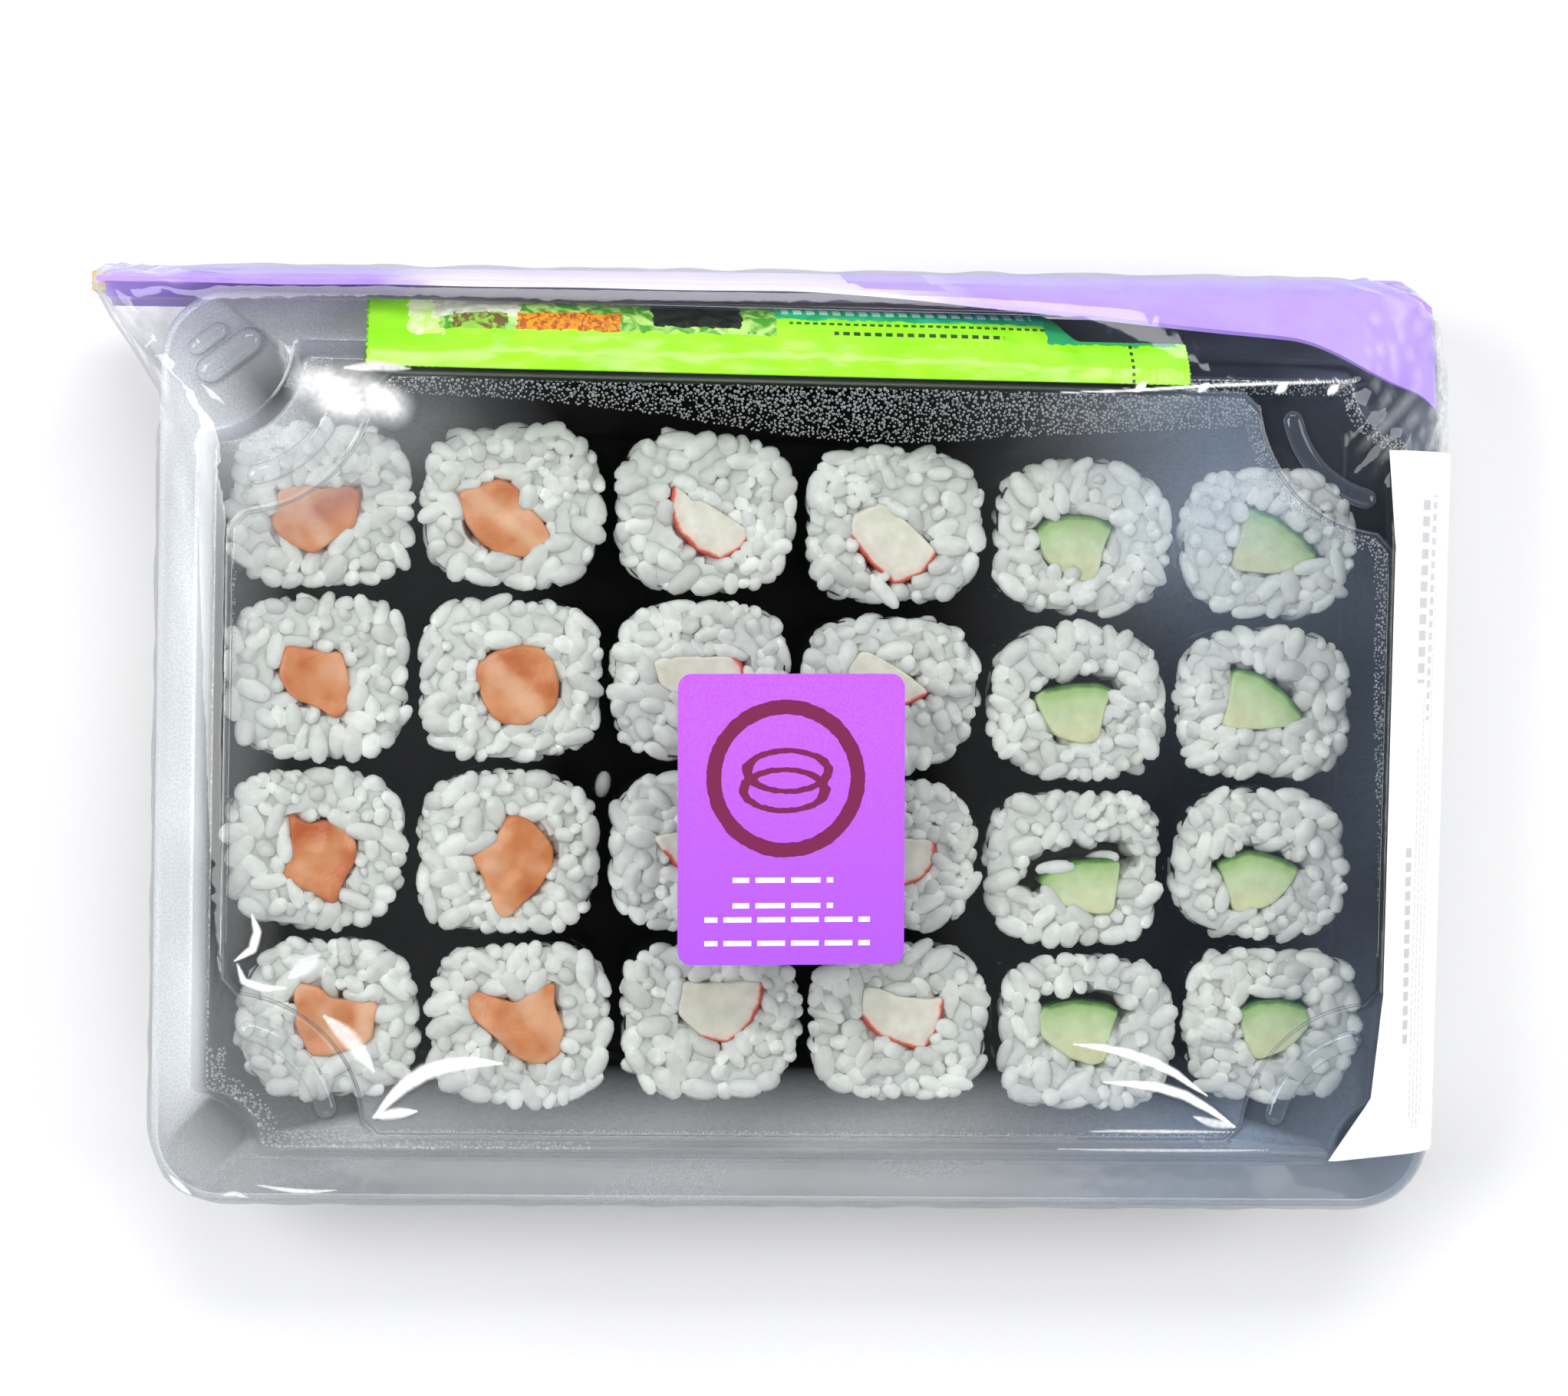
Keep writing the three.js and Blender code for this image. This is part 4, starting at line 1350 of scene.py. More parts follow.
        # The walls' milkiness: partly misting, partly painted reflection of the light
        # surroundings.
        wall = np.maximum.reduce(
            [
                left * np.interp(y, *self.left_mist_and_reflection),
                glow(spots, self.wall_patch),
                0.6 * left * flange,
                0.24 * front,
                back * (0.05 + 0.2 * bend_step(-x, 30, 62)),
                0.16 * right,
                (0.13 + 0.1 * left * back) * corner * (1 - 0.8 * right * back),
            ]
        )
        strip = bend_step(-y, 57, 58.2) * (1 - 0.5 * bend_step(-y, 58.6, 59.6))
        ledge = 0.02 + 0.34 * strip * bend_step(-np.abs(x), -76, -68)
        ledge += 0.09 * bend_step(np.abs(x) - y, 118, 132) + glow(spots, self.corner_patch)
        # A faint veil over the panel, partly painted reflection, that lifts the dark gaps.
        veil_and_painted_reflection = sum(glow(spots, patch) for patch in (*self.panel_patches, self.corner_patch))
        veil_and_painted_reflection += 0.035 * bend_step(x, 66, 92) + 0.05 * bend_step(-x, 84, 90)
        veil_and_painted_reflection += 0.16 * bend_step(-y, 48, 57)
        veil_and_painted_reflection += 0.008 * np.maximum(bend_step(-x, 38, 52), bend_step(x, 16, 28))
        under, inner = self.shoulder_z, self.panel_z - self.wall
        rise = bend_step(z, under, under + 0.25) * (z < inner - 0.2)
        flat = np.where(z > inner - 0.1, veil_and_painted_reflection, ledge)
        # A white strip up the panel's step: a painted highlight, stronger at the right.
        flat += self.step_highlight * (1 + bend_step(x, 60, 70)) * rise
        top = bend_step(z, under - 1, under - 0.1)
        return (wall * (1 - top) + flat * top) * (1 + 0.15 * ripple(spots, 16, 40))


# ------------------------------------------------------------------ rolls


class Kind(Enum):
    """What lies in the middle of a roll."""

    SALMON = "salmon"
    CRABSTICK = "crabstick"
    CUCUMBER = "cucumber"


@dataclass(frozen=True)
class Filling:
    """A filling's outline round its roll's middle, and its rind.

    corners holds x and y of each corner in turn. rind numbers the edges that carry the rind,
    and hollow is how far a gap opens between the rind and the rice.
    """

    corners: tuple[float, ...]
    rind: tuple[int, ...] = ()
    hollow: float = 0.0

    @property
    def outline(self) -> np.ndarray:
        """Gives the corners as rows of x and y."""
        return np.array(self.corners).reshape(-1, 2)

    def rounded(self, count: int = 56) -> np.ndarray:
        """Rounds the outline's corners and spaces its points evenly.

        Args:
            count: How many points there are.

        Returns:
            The points, as rows of x and y.
        """
        line = self.outline
        for _ in range(2):
            after = np.roll(line, -1, axis=0)
            cuts = [line * 0.85 + after * 0.15, line * 0.15 + after * 0.85]
            line = np.stack(cuts, axis=1).reshape(-1, 2)
        closed = np.vstack([line, line[:1]])
        run = np.concatenate([[0], np.cumsum(np.linalg.norm(np.diff(closed, axis=0), axis=1))])
        even = np.linspace(0, run[-1], count, endpoint=False)
        return np.stack([np.interp(even, run, closed[:, k]) for k in (0, 1)], axis=1)

    def from_rind(self, spots: np.ndarray) -> np.ndarray:
        """Measures how far points are from the edges that carry the rind.

        Args:
            spots: The points, as rows of x and y from the roll's middle.

        Returns:
            One distance for each point, 9 mm at the most.
        """
        least = np.full(len(spots), 9.0)
        for number in self.rind:
            a, b = self.outline[number], self.outline[(number + 1) % len(self.outline)]
            share = np.clip(((spots - a) @ (b - a)) / ((b - a) @ (b - a)), 0, 1)
            least = np.minimum(least, np.linalg.norm(spots - a - share[:, None] * (b - a), axis=1))
        return least

    def holds(self, spots: np.ndarray, margin: float = 0.0) -> np.ndarray:
        """Tells which points lie inside the outline.

        Args:
            spots: The points, as rows of x and y from the roll's middle.
            margin: How far the outline is grown first.

        Returns:
            True or False for each point.
        """
        line = self.rounded()
        middle = line.mean(axis=0)
        away = line - middle
        line = middle + away * (1 + margin / np.linalg.norm(away, axis=1, keepdims=True))
        inside = np.zeros(len(spots), bool)
        for (x1, y1), (x2, y2) in zip(line, np.roll(line, -1, axis=0)):
            crosses = (y1 > spots[:, 1]) != (y2 > spots[:, 1])
            with np.errstate(divide="ignore", invalid="ignore"):
                at = x1 + (spots[:, 1] - y1) * (x2 - x1) / (y2 - y1)
            inside ^= crosses & (spots[:, 0] < at)
        return inside

    def open_to(self, spots: np.ndarray) -> np.ndarray:
        """Tells which points lie in the gap beside the rind.

        Args:
            spots: The points, as rows of x and y from the roll's middle.

        Returns:
            True or False for each point.
        """
        if not self.hollow:
            return np.zeros(len(spots), bool)
        return (self.from_rind(spots) < self.hollow) & ~self.holds(spots)


@dataclass(frozen=True)
class Column:
    """A column of rolls, from the front."""

    kind: Kind
    front_y: float
    pitch: float
    fillings: tuple[Filling, ...]


COLUMNS = (
    Column(Kind.SALMON, -43.1, 27.2, (
        Filling((
            -5.7, 6.0, -1.6, 5.4, 0.5, 3.4, 8.0, 3.1, 7.3, 0.1, 6.8, -3.6, 0.8, -5.5, -2.7, -6.0,
            -5.1, -1.4
        )),
        Filling((
            -4.3, 6.0, -1.2, 4.0, 1.8, 4.8, 4.8, 3.3, 6.6, 1.2, 6.5, -2.1, 4.7, -4.8, 3.5, -9.0,
            -1.2, -6.6, -5.1, -4.2, -3.5, -0.3
        )),
        Filling((
            -5.2, 5.4, -0.1, 4.4, 3.9, 4.2, 5.1, -0.1, 5.3, -4.3, 3.1, -6.6, 0.2, -4.6,
            -3.8, -3.4, -6.2, -0.1
        )),
        Filling((
            -7.7, -3.1, -6.6, 2.6, -2.1, 3.6, 0.0, 2.6, 3.9, 3.5, 6.5, 2.5, 5.7, -3.1, 2.4, -5.2,
            -0.8, -7.6, -5.0, -6.1
        )),
    )),
    Column(Kind.SALMON, -43.6, 27.6, (
        Filling((
            -8.2, 5.7, -4.2, 4.4, -0.6, 3.5, 1.5, 5.3, 5.5, 7.1, 5.3, 3.2, 7.1, -0.5, 6.3, -5.0,
            3.0, -6.5, -0.6, -5.3, -4.2, -1.7, -8.3, 1.5
        )),
        Filling((
            0.1, 6.3, 3.5, 5.4, 7.3, 1.2, 7.3, -1.9, 5.3, -5.5, 2.6, -8.1, 0.2, -10.7, -1.6, -9.9,
            -4.0, -3.4, -6.0, -1.0, -2.1, 1.9
        )),
        Filling((
            -5.7, 2.2, -2.5, 4.5, 1.7, 5.6, 4.8, 5.2, 7.0, 3.1, 7.8, -0.5, 7.4, -4.4, 2.3, -7.5,
            -1.9, -6.9, -3.9, -4.4, -5.3, -0.8
        )),
        Filling((
            -8.9, 2.0, -5.6, 3.2, -2.3, 4.4, 0.7, 3.1, 1.2, 0.5, 4.0, -1.4, 6.4, -5.3, 2.4, -8.2,
            -2.3, -7.6, -5.3, -5.8, -7.6, -2.8
        )),
    )),
    Column(Kind.CRABSTICK, -42.5, 27.1, (
        Filling((
            -4.8, 6.3, -0.8, 5.9, 8.4, 6.5, 8.1, 3.2, 6.7, -0.2, 4.7, -2.4, 2.4, -3.8, -1.1, -3.0,
            -5.6, 1.0
        ), (2, 3, 4, 5, 6)),
        Filling((-7.5, 2.6, 6.7, 4.1, 7.4, -0.3, 1.2, -5.0, -3.0, -3.2, -5.4, -0.4), (2, 3, 4)),
        Filling((
            -8.0, 3.6, -2.0, 4.2, 5.2, 4.2, 6.6, 3.2, 6.9, -0.6, 1.5, -3.6, -3.3, -2.4,
            -6.7, -0.6
        ), (2, 3, 4)),
        Filling((
            -5.2, 4.6, -2.6, 2.4, 0.1, 1.6, 3.5, -0.4, 7.6, -3.1, 5.9, -5.9, 2.6, -7.6,
            -1.1, -6.3, -4.6, -2.8, -5.7, 0.9
        ), (4, 5, 6, 7, 8, 9)),
    )),
    Column(Kind.CRABSTICK, -42.5, 26.6, (
        Filling((
            -6.1, 5.6, -3.5, 5.5, -0.4, 4.2, 4.6, 3.7, 7.2, 4.2, 6.6, -0.3, 4.1, -4.8, 0.4, -3.8,
            -3.8, -2.2, -6.3, 0.6
        ), (4, 5, 6, 7, 8)),
        Filling((-6.1, 2.9, 7.6, 3.1, 7.8, -0.7, 5.9, -3.4, 2.8, -4.7, -2.7, -5.3), (1, 2, 3)),
        Filling((
            -7.1, 3.5, -4.5, 6.9, 2.0, 3.3, 6.6, -0.2, 2.4, -2.2, -3.0, -5.0, -6.5, -1.0
        ), (3, 4)),
        Filling((
            -7.1, 1.4, -2.3, 4.0, 2.2, 0.5, 7.1, -4.2, 4.7, -7.7, 0.2, -9.6, -3.7, -6.3,
            -7.1, -2.1
        ), (3, 4, 5, 6)),
    )),
    Column(Kind.CUCUMBER, -44.0, 26.7, (
        Filling((
            -8.6, 2.2, -6.5, 4.7, -1.8, 5.6, 3.2, 5.0, 5.2, 3.9, 3.9, 0.3, 3.2, -4.6, 1.0, -5.3,
            -3.1, -4.0, -7.3, -0.9
        ), (1, 2, 3), 1.8),
        Filling((
            -6.2, -1.9, -3.4, 0.8, 1.2, 1.5, 7.5, 1.8, 7.1, -3.4, 6.5, -7.2, 3.7, -7.5,
            -1.7, -6.2, -3.8, -3.8
        ), (0, 1, 2), 2.6),
        Filling((
            -7.2, 0.7, -5.3, 2.3, -1.6, 3.1, 2.9, 3.4, 5.8, 2.4, 4.3, -0.6, 3.4, -6.0, 0.9, -6.7,
            -3.6, -5.5, -5.5, -2.8
        ), (1, 2, 3), 1.5),
        Filling((
            -7.7, 1.3, -6.0, 3.0, -1.9, 3.7, 2.1, 3.5, 4.8, 2.0, 3.4, -1.5, 2.6, -6.2, 0.6, -7.4,
            -4.0, -5.4, -6.3, -3.4
        ), (0, 1, 2, 3), 0.5),
    )),
    Column(Kind.CUCUMBER, -42.4, 26.1, (
        Filling((
            -5.8, 2.7, -2.6, 4.1, 1.1, 4.3, 5.2, 3.3, 6.4, 0.2, 3.0, -3.8, -2.6, -6.0, -4.5, -2.9
        ), (0, 1, 2), 0.8),
        Filling((
            -7.2, 0.5, -4.8, 1.5, -2.3, 2.4, 2.4, 1.5, 6.5, -0.3, 4.9, -3.5, 1.8, -6.7,
            -4.2, -8.2, -6.0, -2.6
        ), (0, 1, 2, 3), 1.0),
        Filling((
            -4.8, 5.8, -1.0, 5.0, 3.4, 1.9, 6.6, -1.9, 4.0, -3.7, -1.0, -4.2, -7.2, -4.0,
            -6.2, -0.5, -5.8, 3.5
        ), (0, 1, 2), 0.9),
        Filling((
            -3.5, 5.9, 1.0, 4.3, 5.4, 1.2, 8.2, -2.0, 5.1, -4.3, 0.4, -5.1, -6.2, -4.5,
            -5.5, -1.0
        ), (0, 1, 2), 0.5),
    )),
)


@dataclass
class Packing:
    """Grains that share out an area between them."""

    area: np.ndarray
    count: int
    draw: np.random.Generator
    rounds: int = 12
    least: Point = (1.35, 1.1)
    most: Point = (2.8, 1.6)

    def settle(self) -> tuple[np.ndarray, np.ndarray, np.ndarray]:
        """Moves, turns and sizes the grains till each fills its own patch.

        Returns:
            The grains' middles, their directions and their half lengths and half widths.
        """
        draw, area = self.draw, self.area
        middles = area[draw.choice(len(area), self.count, replace=False)]
        turns = draw.uniform(0, math.pi, self.count)
        lengths = np.where(draw.random(self.count) < 0.35, 1.5, 2.3)
        sizes = np.stack([lengths, np.full(self.count, 1.35)], axis=1)
        for _ in range(self.rounds):
            away = area[:, None] - middles
            cos, sin = np.cos(turns), np.sin(turns)
            along = away[..., 0] * cos + away[..., 1] * sin
            across = away[..., 1] * cos - away[..., 0] * sin
            owner = np.argmin((along / sizes[:, 0]) ** 2 + (across / sizes[:, 1]) ** 2, axis=1)
            for i in range(self.count):
                patch = area[owner == i]
                if len(patch) < 6:
                    middles[i] = area[draw.integers(len(area))]
                    continue
                middles[i] = patch.mean(axis=0)
                spread, ways = np.linalg.eigh(np.cov(patch.T))
                turns[i] = math.atan2(ways[1, 1], ways[0, 1])
                fit = 2 * np.sqrt(spread[::-1])
                sizes[i] = np.clip((sizes[i] + fit) / 2, self.least, self.most)
        return middles, turns, sizes


@dataclass
class Roll:
    """One roll: where it stands, its own outline and its filling."""

    kind: Kind
    x: float
    y: float
    half_x: float
    half_y: float
    seed: int
    filling: Filling
    foot_z: float = 2.6
    top_z: float = 30.0
    bite: float = 0.25

    def __post_init__(self) -> None:
        """Draws what is particular to this roll."""
        self.draw = np.random.default_rng(self.seed + 11)
        self.power = 3.1 + self.draw.uniform(-0.4, 0.5)
        self.waves = self.draw.uniform(0, 6.28, 3)
        self.top = self.top_z + self.draw.uniform(-0.4, 0.3)

    def reach(self, angles: np.ndarray) -> np.ndarray:
        """Tells how far the roll reaches from its middle at each angle.

        Args:
            angles: The angles.

        Returns:
            One distance for each angle.
        """
        sides = np.abs(np.cos(angles) / self.half_x) ** self.power
        ends = np.abs(np.sin(angles) / self.half_y) ** self.power
        wave = 0.012 * np.sin(3 * angles + self.waves[0])
        wave += 0.01 * np.sin(5 * angles + self.waves[1])
        return (sides + ends) ** (-1 / self.power) * (0.985 + wave)

    def edge(self, count: int, inset: float) -> np.ndarray:
        """Gives the roll's outline, set in.

        Args:
            count: How many points there are.
            inset: How far it is set in.

        Returns:
            The points, as rows of x and y.
        """
        angles = np.arange(count) * 2 * math.pi / count
        radius = self.reach(angles) - inset
        return np.stack([radius * np.cos(angles), radius * np.sin(angles)], axis=1)

    def depth_in(self, spots: np.ndarray) -> np.ndarray:
        """Tells how far inside the roll's outline points lie."""
        return self.reach(np.arctan2(spots[:, 1], spots[:, 0])) - np.linalg.norm(spots, axis=1)

    def cap(self, spots: np.ndarray) -> np.ndarray:
        """Gives the height that the rice fills up to: flat, and rounded at the edge."""
        inside = np.clip(self.depth_in(spots), 0, 4)
        return self.top - 1.9 * (1 - inside / 4) ** 2.2

    def grains(self) -> np.ndarray:
        """Lays two layers of grains, each grain pressed against those around it.

        Returns:
            One 4 x 4 matrix in millimetres for each grain, as a scaled unit ball.
        """
        step = 0.45
        axis = np.arange(-16, 16, step)
        spots = np.stack(np.meshgrid(axis, axis), axis=-1).reshape(-1, 2)
        poses = []
        for drop, patch, inset in ((0.0, 8.4, 0.45), (1.5, 10.0, 0.8)):
            taken = self.filling.holds(spots, -self.bite) | self.filling.open_to(spots)
            area = spots[(self.depth_in(spots) > inset) & ~taken]
            count = int(len(area) * step**2 / patch)
            middles, turns, sizes = Packing(area, count, self.draw).settle()
            tops = self.cap(middles) - drop + self.draw.normal(0, 0.3, count)
            for (x, y), yaw, (half_long, half_wide), top in zip(middles, turns, sizes, tops):
                tall = half_wide * self.draw.uniform(0.8, 0.95)
                flat = self.draw.random() < 0.7
                pitch = self.draw.normal(0, 0.4) if flat else self.draw.uniform(0.7, 1.3)
                turn = Matrix.Rotation(yaw + self.draw.normal(0, 0.35), 3, "Z")
                turn @= Matrix.Rotation(pitch, 3, "Y")
                size = (half_long * 1.16, half_wide * 1.18, tall)
                rise = math.hypot(size[0] * math.sin(pitch), tall * math.cos(pitch))
                poses.append(posed((self.x + x, self.y + y, top - rise), turn, size))
        return np.array(poses)

    def core(self) -> Piece:
        """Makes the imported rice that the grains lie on, with a pit round the filling.

        Returns:
            The core.
        """
        line = self.edge(48, 1.0)
        rows = [np.column_stack([line, np.full(48, self.foot_z + 0.4)])]
        for share in (1.0, 0.97, 0.9, 0.8, 0.7, 0.6, 0.5, 0.4, 0.3, 0.2, 0.1, 0.0):
            spots = line * share
            height = self.cap(spots) - 1.1 + 0.2 * ripple(spots, 3, self.seed)
            pit = self.filling.holds(spots, 0.3) | self.filling.open_to(spots)
            rows.append(np.column_stack([spots, np.where(pit, self.top - 7, height)]))
        rows.insert(0, rows[0] * [0, 0, 1])
        piece = sheet("core", np.array(rows) + [self.x, self.y, 0], closed=True)
        # Points more than 5 mm below the top, the pits' floors and down the sides, get 0: painted
        # shade.
        note(piece, "draw", 0.5 * (places(piece)[:, 2] > self.top - 5.0))
        return piece

    def seaweed(self) -> Piece:
        """Wraps a crinkled sheet round the rice, open at the top.

        Returns:
            The seaweed.
        """
        heights = np.concatenate([[self.foot_z], np.linspace(4, self.top - 2.6, 14)])
        rows = []
        for number, height in enumerate(heights):
            line = self.edge(72, 0.75)
            spots = np.column_stack([line, np.full(72, height)])
            crinkle = ripple(spots, 9, self.seed) * 0.12 + ripple(spots, 3.5, self.seed + 1) * 0.06
            away = line / np.linalg.norm(line, axis=1, keepdims=True)
            spots[:, :2] += away * (crinkle - 0.15)[:, None]
            if number == len(heights) - 1:
                spots[:, 2] += 0.5 * ripple(line, 7, self.seed + 2)
            rows.append(spots + [self.x, self.y, 0])
        piece = sheet("seaweed", np.array(rows), closed=True)
        thicken(piece, 0.25)
        return piece

    def middle(self) -> Piece:
        """Cuts the filling: a straight side, a soft edge and an uneven top.

        Returns:
            The filling.
        """
        line = self.filling.rounded()
        centre = line.mean(axis=0)
        top = self.top - 0.35
        deep = 9.0
        edge = ((1.0, deep), (1.01, 1.2), (1.0, 0.45), (0.975, 0.12))
        rows = [np.column_stack([centre + line * 0, np.full(len(line), top - deep)])]
        for share, drop in (
            *edge,
            *((share, 0.0) for share in (0.94, 0.86, 0.75, 0.62, 0.48, 0.32, 0.16, 0.0)),
        ):
            spots = centre + (line - centre) * share
            lumps = (0.4 if self.kind is Kind.SALMON else 0.1) * ripple(spots, 6, self.seed + 5)
            rows.append(np.column_stack([spots, top - drop + lumps * (drop < deep)]))
        piece = sheet("filling", np.array(rows) + [self.x, self.y, 0], closed=True)
        spots = places(piece)[:, :2] - [self.x, self.y]
        note(piece, "rind", self.filling.from_rind(spots))
        return piece


# A stray grain in the gaps of each kind: x, y and z, how it is turned and its half length.
STRAYS = {
    Kind.SALMON: (-31.9, -5.6, 18.0, 1.4, 2.2),
    Kind.CRABSTICK: (11.9, 26.8, 29.3, -0.82, 3.6),
    Kind.CUCUMBER: (42.4, 30.2, 29.6, 0.4, 1.4),
}
FLESH = {Kind.SALMON: Salmon(), Kind.CRABSTICK: CRAB_STICK, Kind.CUCUMBER: CUCUMBER}


@dataclass
class RollSet:
    """The eight rolls of one kind, made as one piece of each stuff."""

    kind: Kind
    column_pitch: float = 30.5
    first_x: float = -77.9
    front_shift: float = 2.6
    clearance: float = 0.35

    def rolls(self) -> list[Roll]:
        """Lists the rolls in the order of their CAD nodes, each column from the front.

        Returns:
            The rolls.
        """
        made = []
        for number, column in enumerate(COLUMNS):
            if column.kind is not self.kind:
                continue
            middle = self.first_x + number * self.column_pitch
            half_x, half_y = (p / 2 - self.clearance for p in (self.column_pitch, column.pitch))
            for row, filling in enumerate(column.fillings):
                x = middle + (0 if row else self.front_shift)
                y = column.front_y + row * column.pitch
                made.append(Roll(self.kind, x, y, half_x, half_y, number * 4 + row, filling))
        return made

    def grain(self) -> Piece:
        """Models one plump grain as a unit shape with blunt ends.

        Returns:
            The grain.
        """
        deselect()
        bpy.ops.mesh.primitive_uv_sphere_add(segments=8, ring_count=6, radius=MM)
        piece = bpy.context.object
        with editing(piece):
            bpy.ops.transform.rotate(value=math.pi / 2, orient_axis="Y", center_override=(0, 0, 0))
        spots = places(piece)
        girth = np.linalg.norm(spots[:, 1:], axis=1, keepdims=True)
        blunt = np.minimum(girth**0.86, 1.0)
        spots[:, 1:] *= np.where(girth > 0, blunt / np.maximum(girth, 1e-6), 0)
        spots[:, 0] *= 1.02
        spots[:, 2] += 0.1 * spots[:, 0] ** 2 - 0.04
        piece.data.vertices.foreach_set("co", (spots * MM).astype(np.float32).ravel())
        return piece

    def build(self) -> list[Piece]:
        """Makes the rice, its core, the seaweed and the fillings of all the rolls.

        Returns:
            The pieces.
        """
        rolls = self.rolls()
        heaps = [roll.grains() for roll in rolls]
        *place, yaw, half_long = STRAYS[self.kind]
        stray = posed(place, Matrix.Rotation(yaw, 3, "Z"), (half_long, 1.3, 1.2))
        poses = np.concatenate([*heaps, [stray]])
        LOG.info("%s rolls hold %d grains", self.kind.value, len(poses))
        name = self.kind.value
        rice = copies(f"{name}_roll_rice", self.grain(), poses)
        core = joined(f"{name}_roll_packed_rice", [roll.core() for roll in rolls])
        wrap = joined(f"{name}_roll_seaweed", [roll.seaweed() for roll in rolls])
        middle = joined(f"{name}_filling", [roll.middle() for roll in rolls])
        for piece in (core, wrap, middle):
            smooth(piece, 55)
        Rice().dress(rice)
        Rice().dress(core)
        Seaweed().dress(wrap)
        FLESH[self.kind].dress(middle)
        nodes = [f"roll_{self.kind.value}_{number}" for number in range(1, 9)]
        for piece in (rice, core, wrap, middle):
            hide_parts(*nodes)
            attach(piece, "root")
        return [rice, core, wrap, middle]


# ------------------------------------------------------------------ chopsticks, sleeve and sachet


@dataclass
class Chopsticks:
    """Two sticks of one piece of wood, and the paper sleeve round them."""

    left: tuple[float, float, float] = (-114.5, 73.5, 19.0)
    right: tuple[float, float, float] = (95.0, 76.5, 20.5)
    half_height: float = 4.2
    half_thick: float = 1.6
    gap: float = 0.35
    sleeve_left: float = -112.2
    sleeve_right: float = 99.7
    paper: float = 0.4
    pocket_wall: float = 0.45
    bend: float = 2.4
    fin: float = 5.5
    fin_lean: float = 0.55
    knee_y: float = 73.3
    knee_z: float = 31.0
    flap: float = 10.0
    flap_extra: float = 7.4
    twist_x: float = 75.0
    skirt_z: float = 26.0

    def line(self, x: float) -> Point:
        """Gives the sticks' middle line at x, as y and z."""
        share = (x - self.left[0]) / (self.right[0] - self.left[0])
        return tuple(a + (b - a) * share for a, b in zip(self.left[1:], self.right[1:]))

    def sticks(self) -> Piece:
        """Lofts the blank with softened edges and a groove down each side.

        Returns:
            The sticks.
        """
        thick, tall = self.half_thick, self.half_height
        lower = ((0.0, -1.0), (0.93, -1.0), (1.0, -0.95), (1.0, -0.1))
        half = (*lower, (0.62, 0.0), (1.0, 0.1), (1.0, 0.95), (0.93, 1.0))
        section = [(side * y * thick, side * z * tall) for side in (1, -1) for y, z in half]
        rings = []
        left, right, cut = self.left[0], self.right[0], 0.35
        for x, small in ((left, 0.9), (left + cut, 1.0), (right - cut, 1.0), (right, 0.9)):
            y, z = self.line(x)
            rings.append([(x, y + a * small, z + b * small) for a, b in section])
        piece = loft("chopstick_blank", rings, start=True, end=True)
        smooth(piece, 25)
        Birch().dress(piece)
        return piece

    def section(self, x: float) -> np.ndarray:
        """Gives the sleeve's section, from the fin's tip up its inside and down its outside.

        Args:
            x: Where along the sleeve.

        Returns:
            Twelve corners, as rows of y and z.
        """
        y, z = self.line(x)
        past = max(x - self.right[0], 0) / (self.sleeve_right - self.right[0])
        y -= self.bend * past**2
        slim = 1 - 0.7 * float(bend_step(x, self.right[0] + 1, self.sleeve_right))
        thick = (self.half_thick + self.gap + self.pocket_wall) * slim
        tall = self.half_height + self.gap
        paper = self.paper
        share = (x - self.sleeve_left) / (self.sleeve_right - self.sleeve_left)
        lean = 0.08 + 0.06 * share + 1.15 * max(2 * share - 1, 0) ** 1.4
        flap = self.flap + self.flap_extra * float(bend_step(x, self.twist_x, self.sleeve_right))
        knee = max(y, self.knee_y)
        tip = np.array([knee - math.sin(lean) * flap, self.knee_z + math.cos(lean) * flap])
        normal = np.array([math.cos(lean), math.sin(lean)]) * paper
        fin = np.array(
            [y - math.sin(self.fin_lean) * self.fin, z - tall - math.cos(self.fin_lean) * self.fin]
        )
        bend = np.array([knee, self.knee_z])
        inner = [
            fin - [paper, 0],
            [y - thick, z - tall],
            [y - thick, z + tall * 0.8],
            [knee - paper, self.skirt_z - self.gap],
            bend - normal,
            tip - normal,
        ]
        outer = [
            tip + normal,
            bend + normal,
            [knee + paper, self.skirt_z],
            [y + thick, z + tall],
            [y + thick, z - tall],
            fin + [paper, 0],
        ]
        return np.array([*inner, *outer])

    def sleeve(self) -> Piece:
        """Lofts the sleeve with soft folds and crumples towards its right end.

        Returns:
            The sleeve.
        """
        stations = np.concatenate(
            [np.linspace(self.sleeve_left, 60, 90), np.linspace(61.5, self.sleeve_right, 34)]
        )
        shares = np.concatenate([np.arange(5) / 5 + k for k in range(11)] + [[11.0]])
        rows = []
        for x in stations:
            ring = self.section(x)
            line = np.stack([np.interp(shares, np.arange(12), ring[:, k]) for k in (0, 1)], axis=1)
            rows.append(np.column_stack([np.full(len(line), x), line]))
        rows = np.array(rows)
        flat = rows.reshape(-1, 3)
        along = flat * [1, 0, 1]
        amount = 0.12 + 0.3 * bend_step(flat[:, 0], 62, 92)
        crumple = ripple(along, 26, 3) * 0.6 + ripple(along * [0.35, 1, 1.0], 6, 4) * 0.5
        flat[:, 1] += amount * crumple * bend_step(flat[:, 2], 24, 31)
        flat[:, 2] += 0.18 * ripple(flat * [1, 0, 0], 34, 8) * bend_step(flat[:, 2], 33, 39)
        flat[:, 2] = np.minimum(flat[:, 2], 41.2)
        piece = sheet("chopstick_paper_sleeve", flat.reshape(rows.shape), closed=True)
        smooth(piece, 60)
        SleevePaper().dress(piece)
        return piece

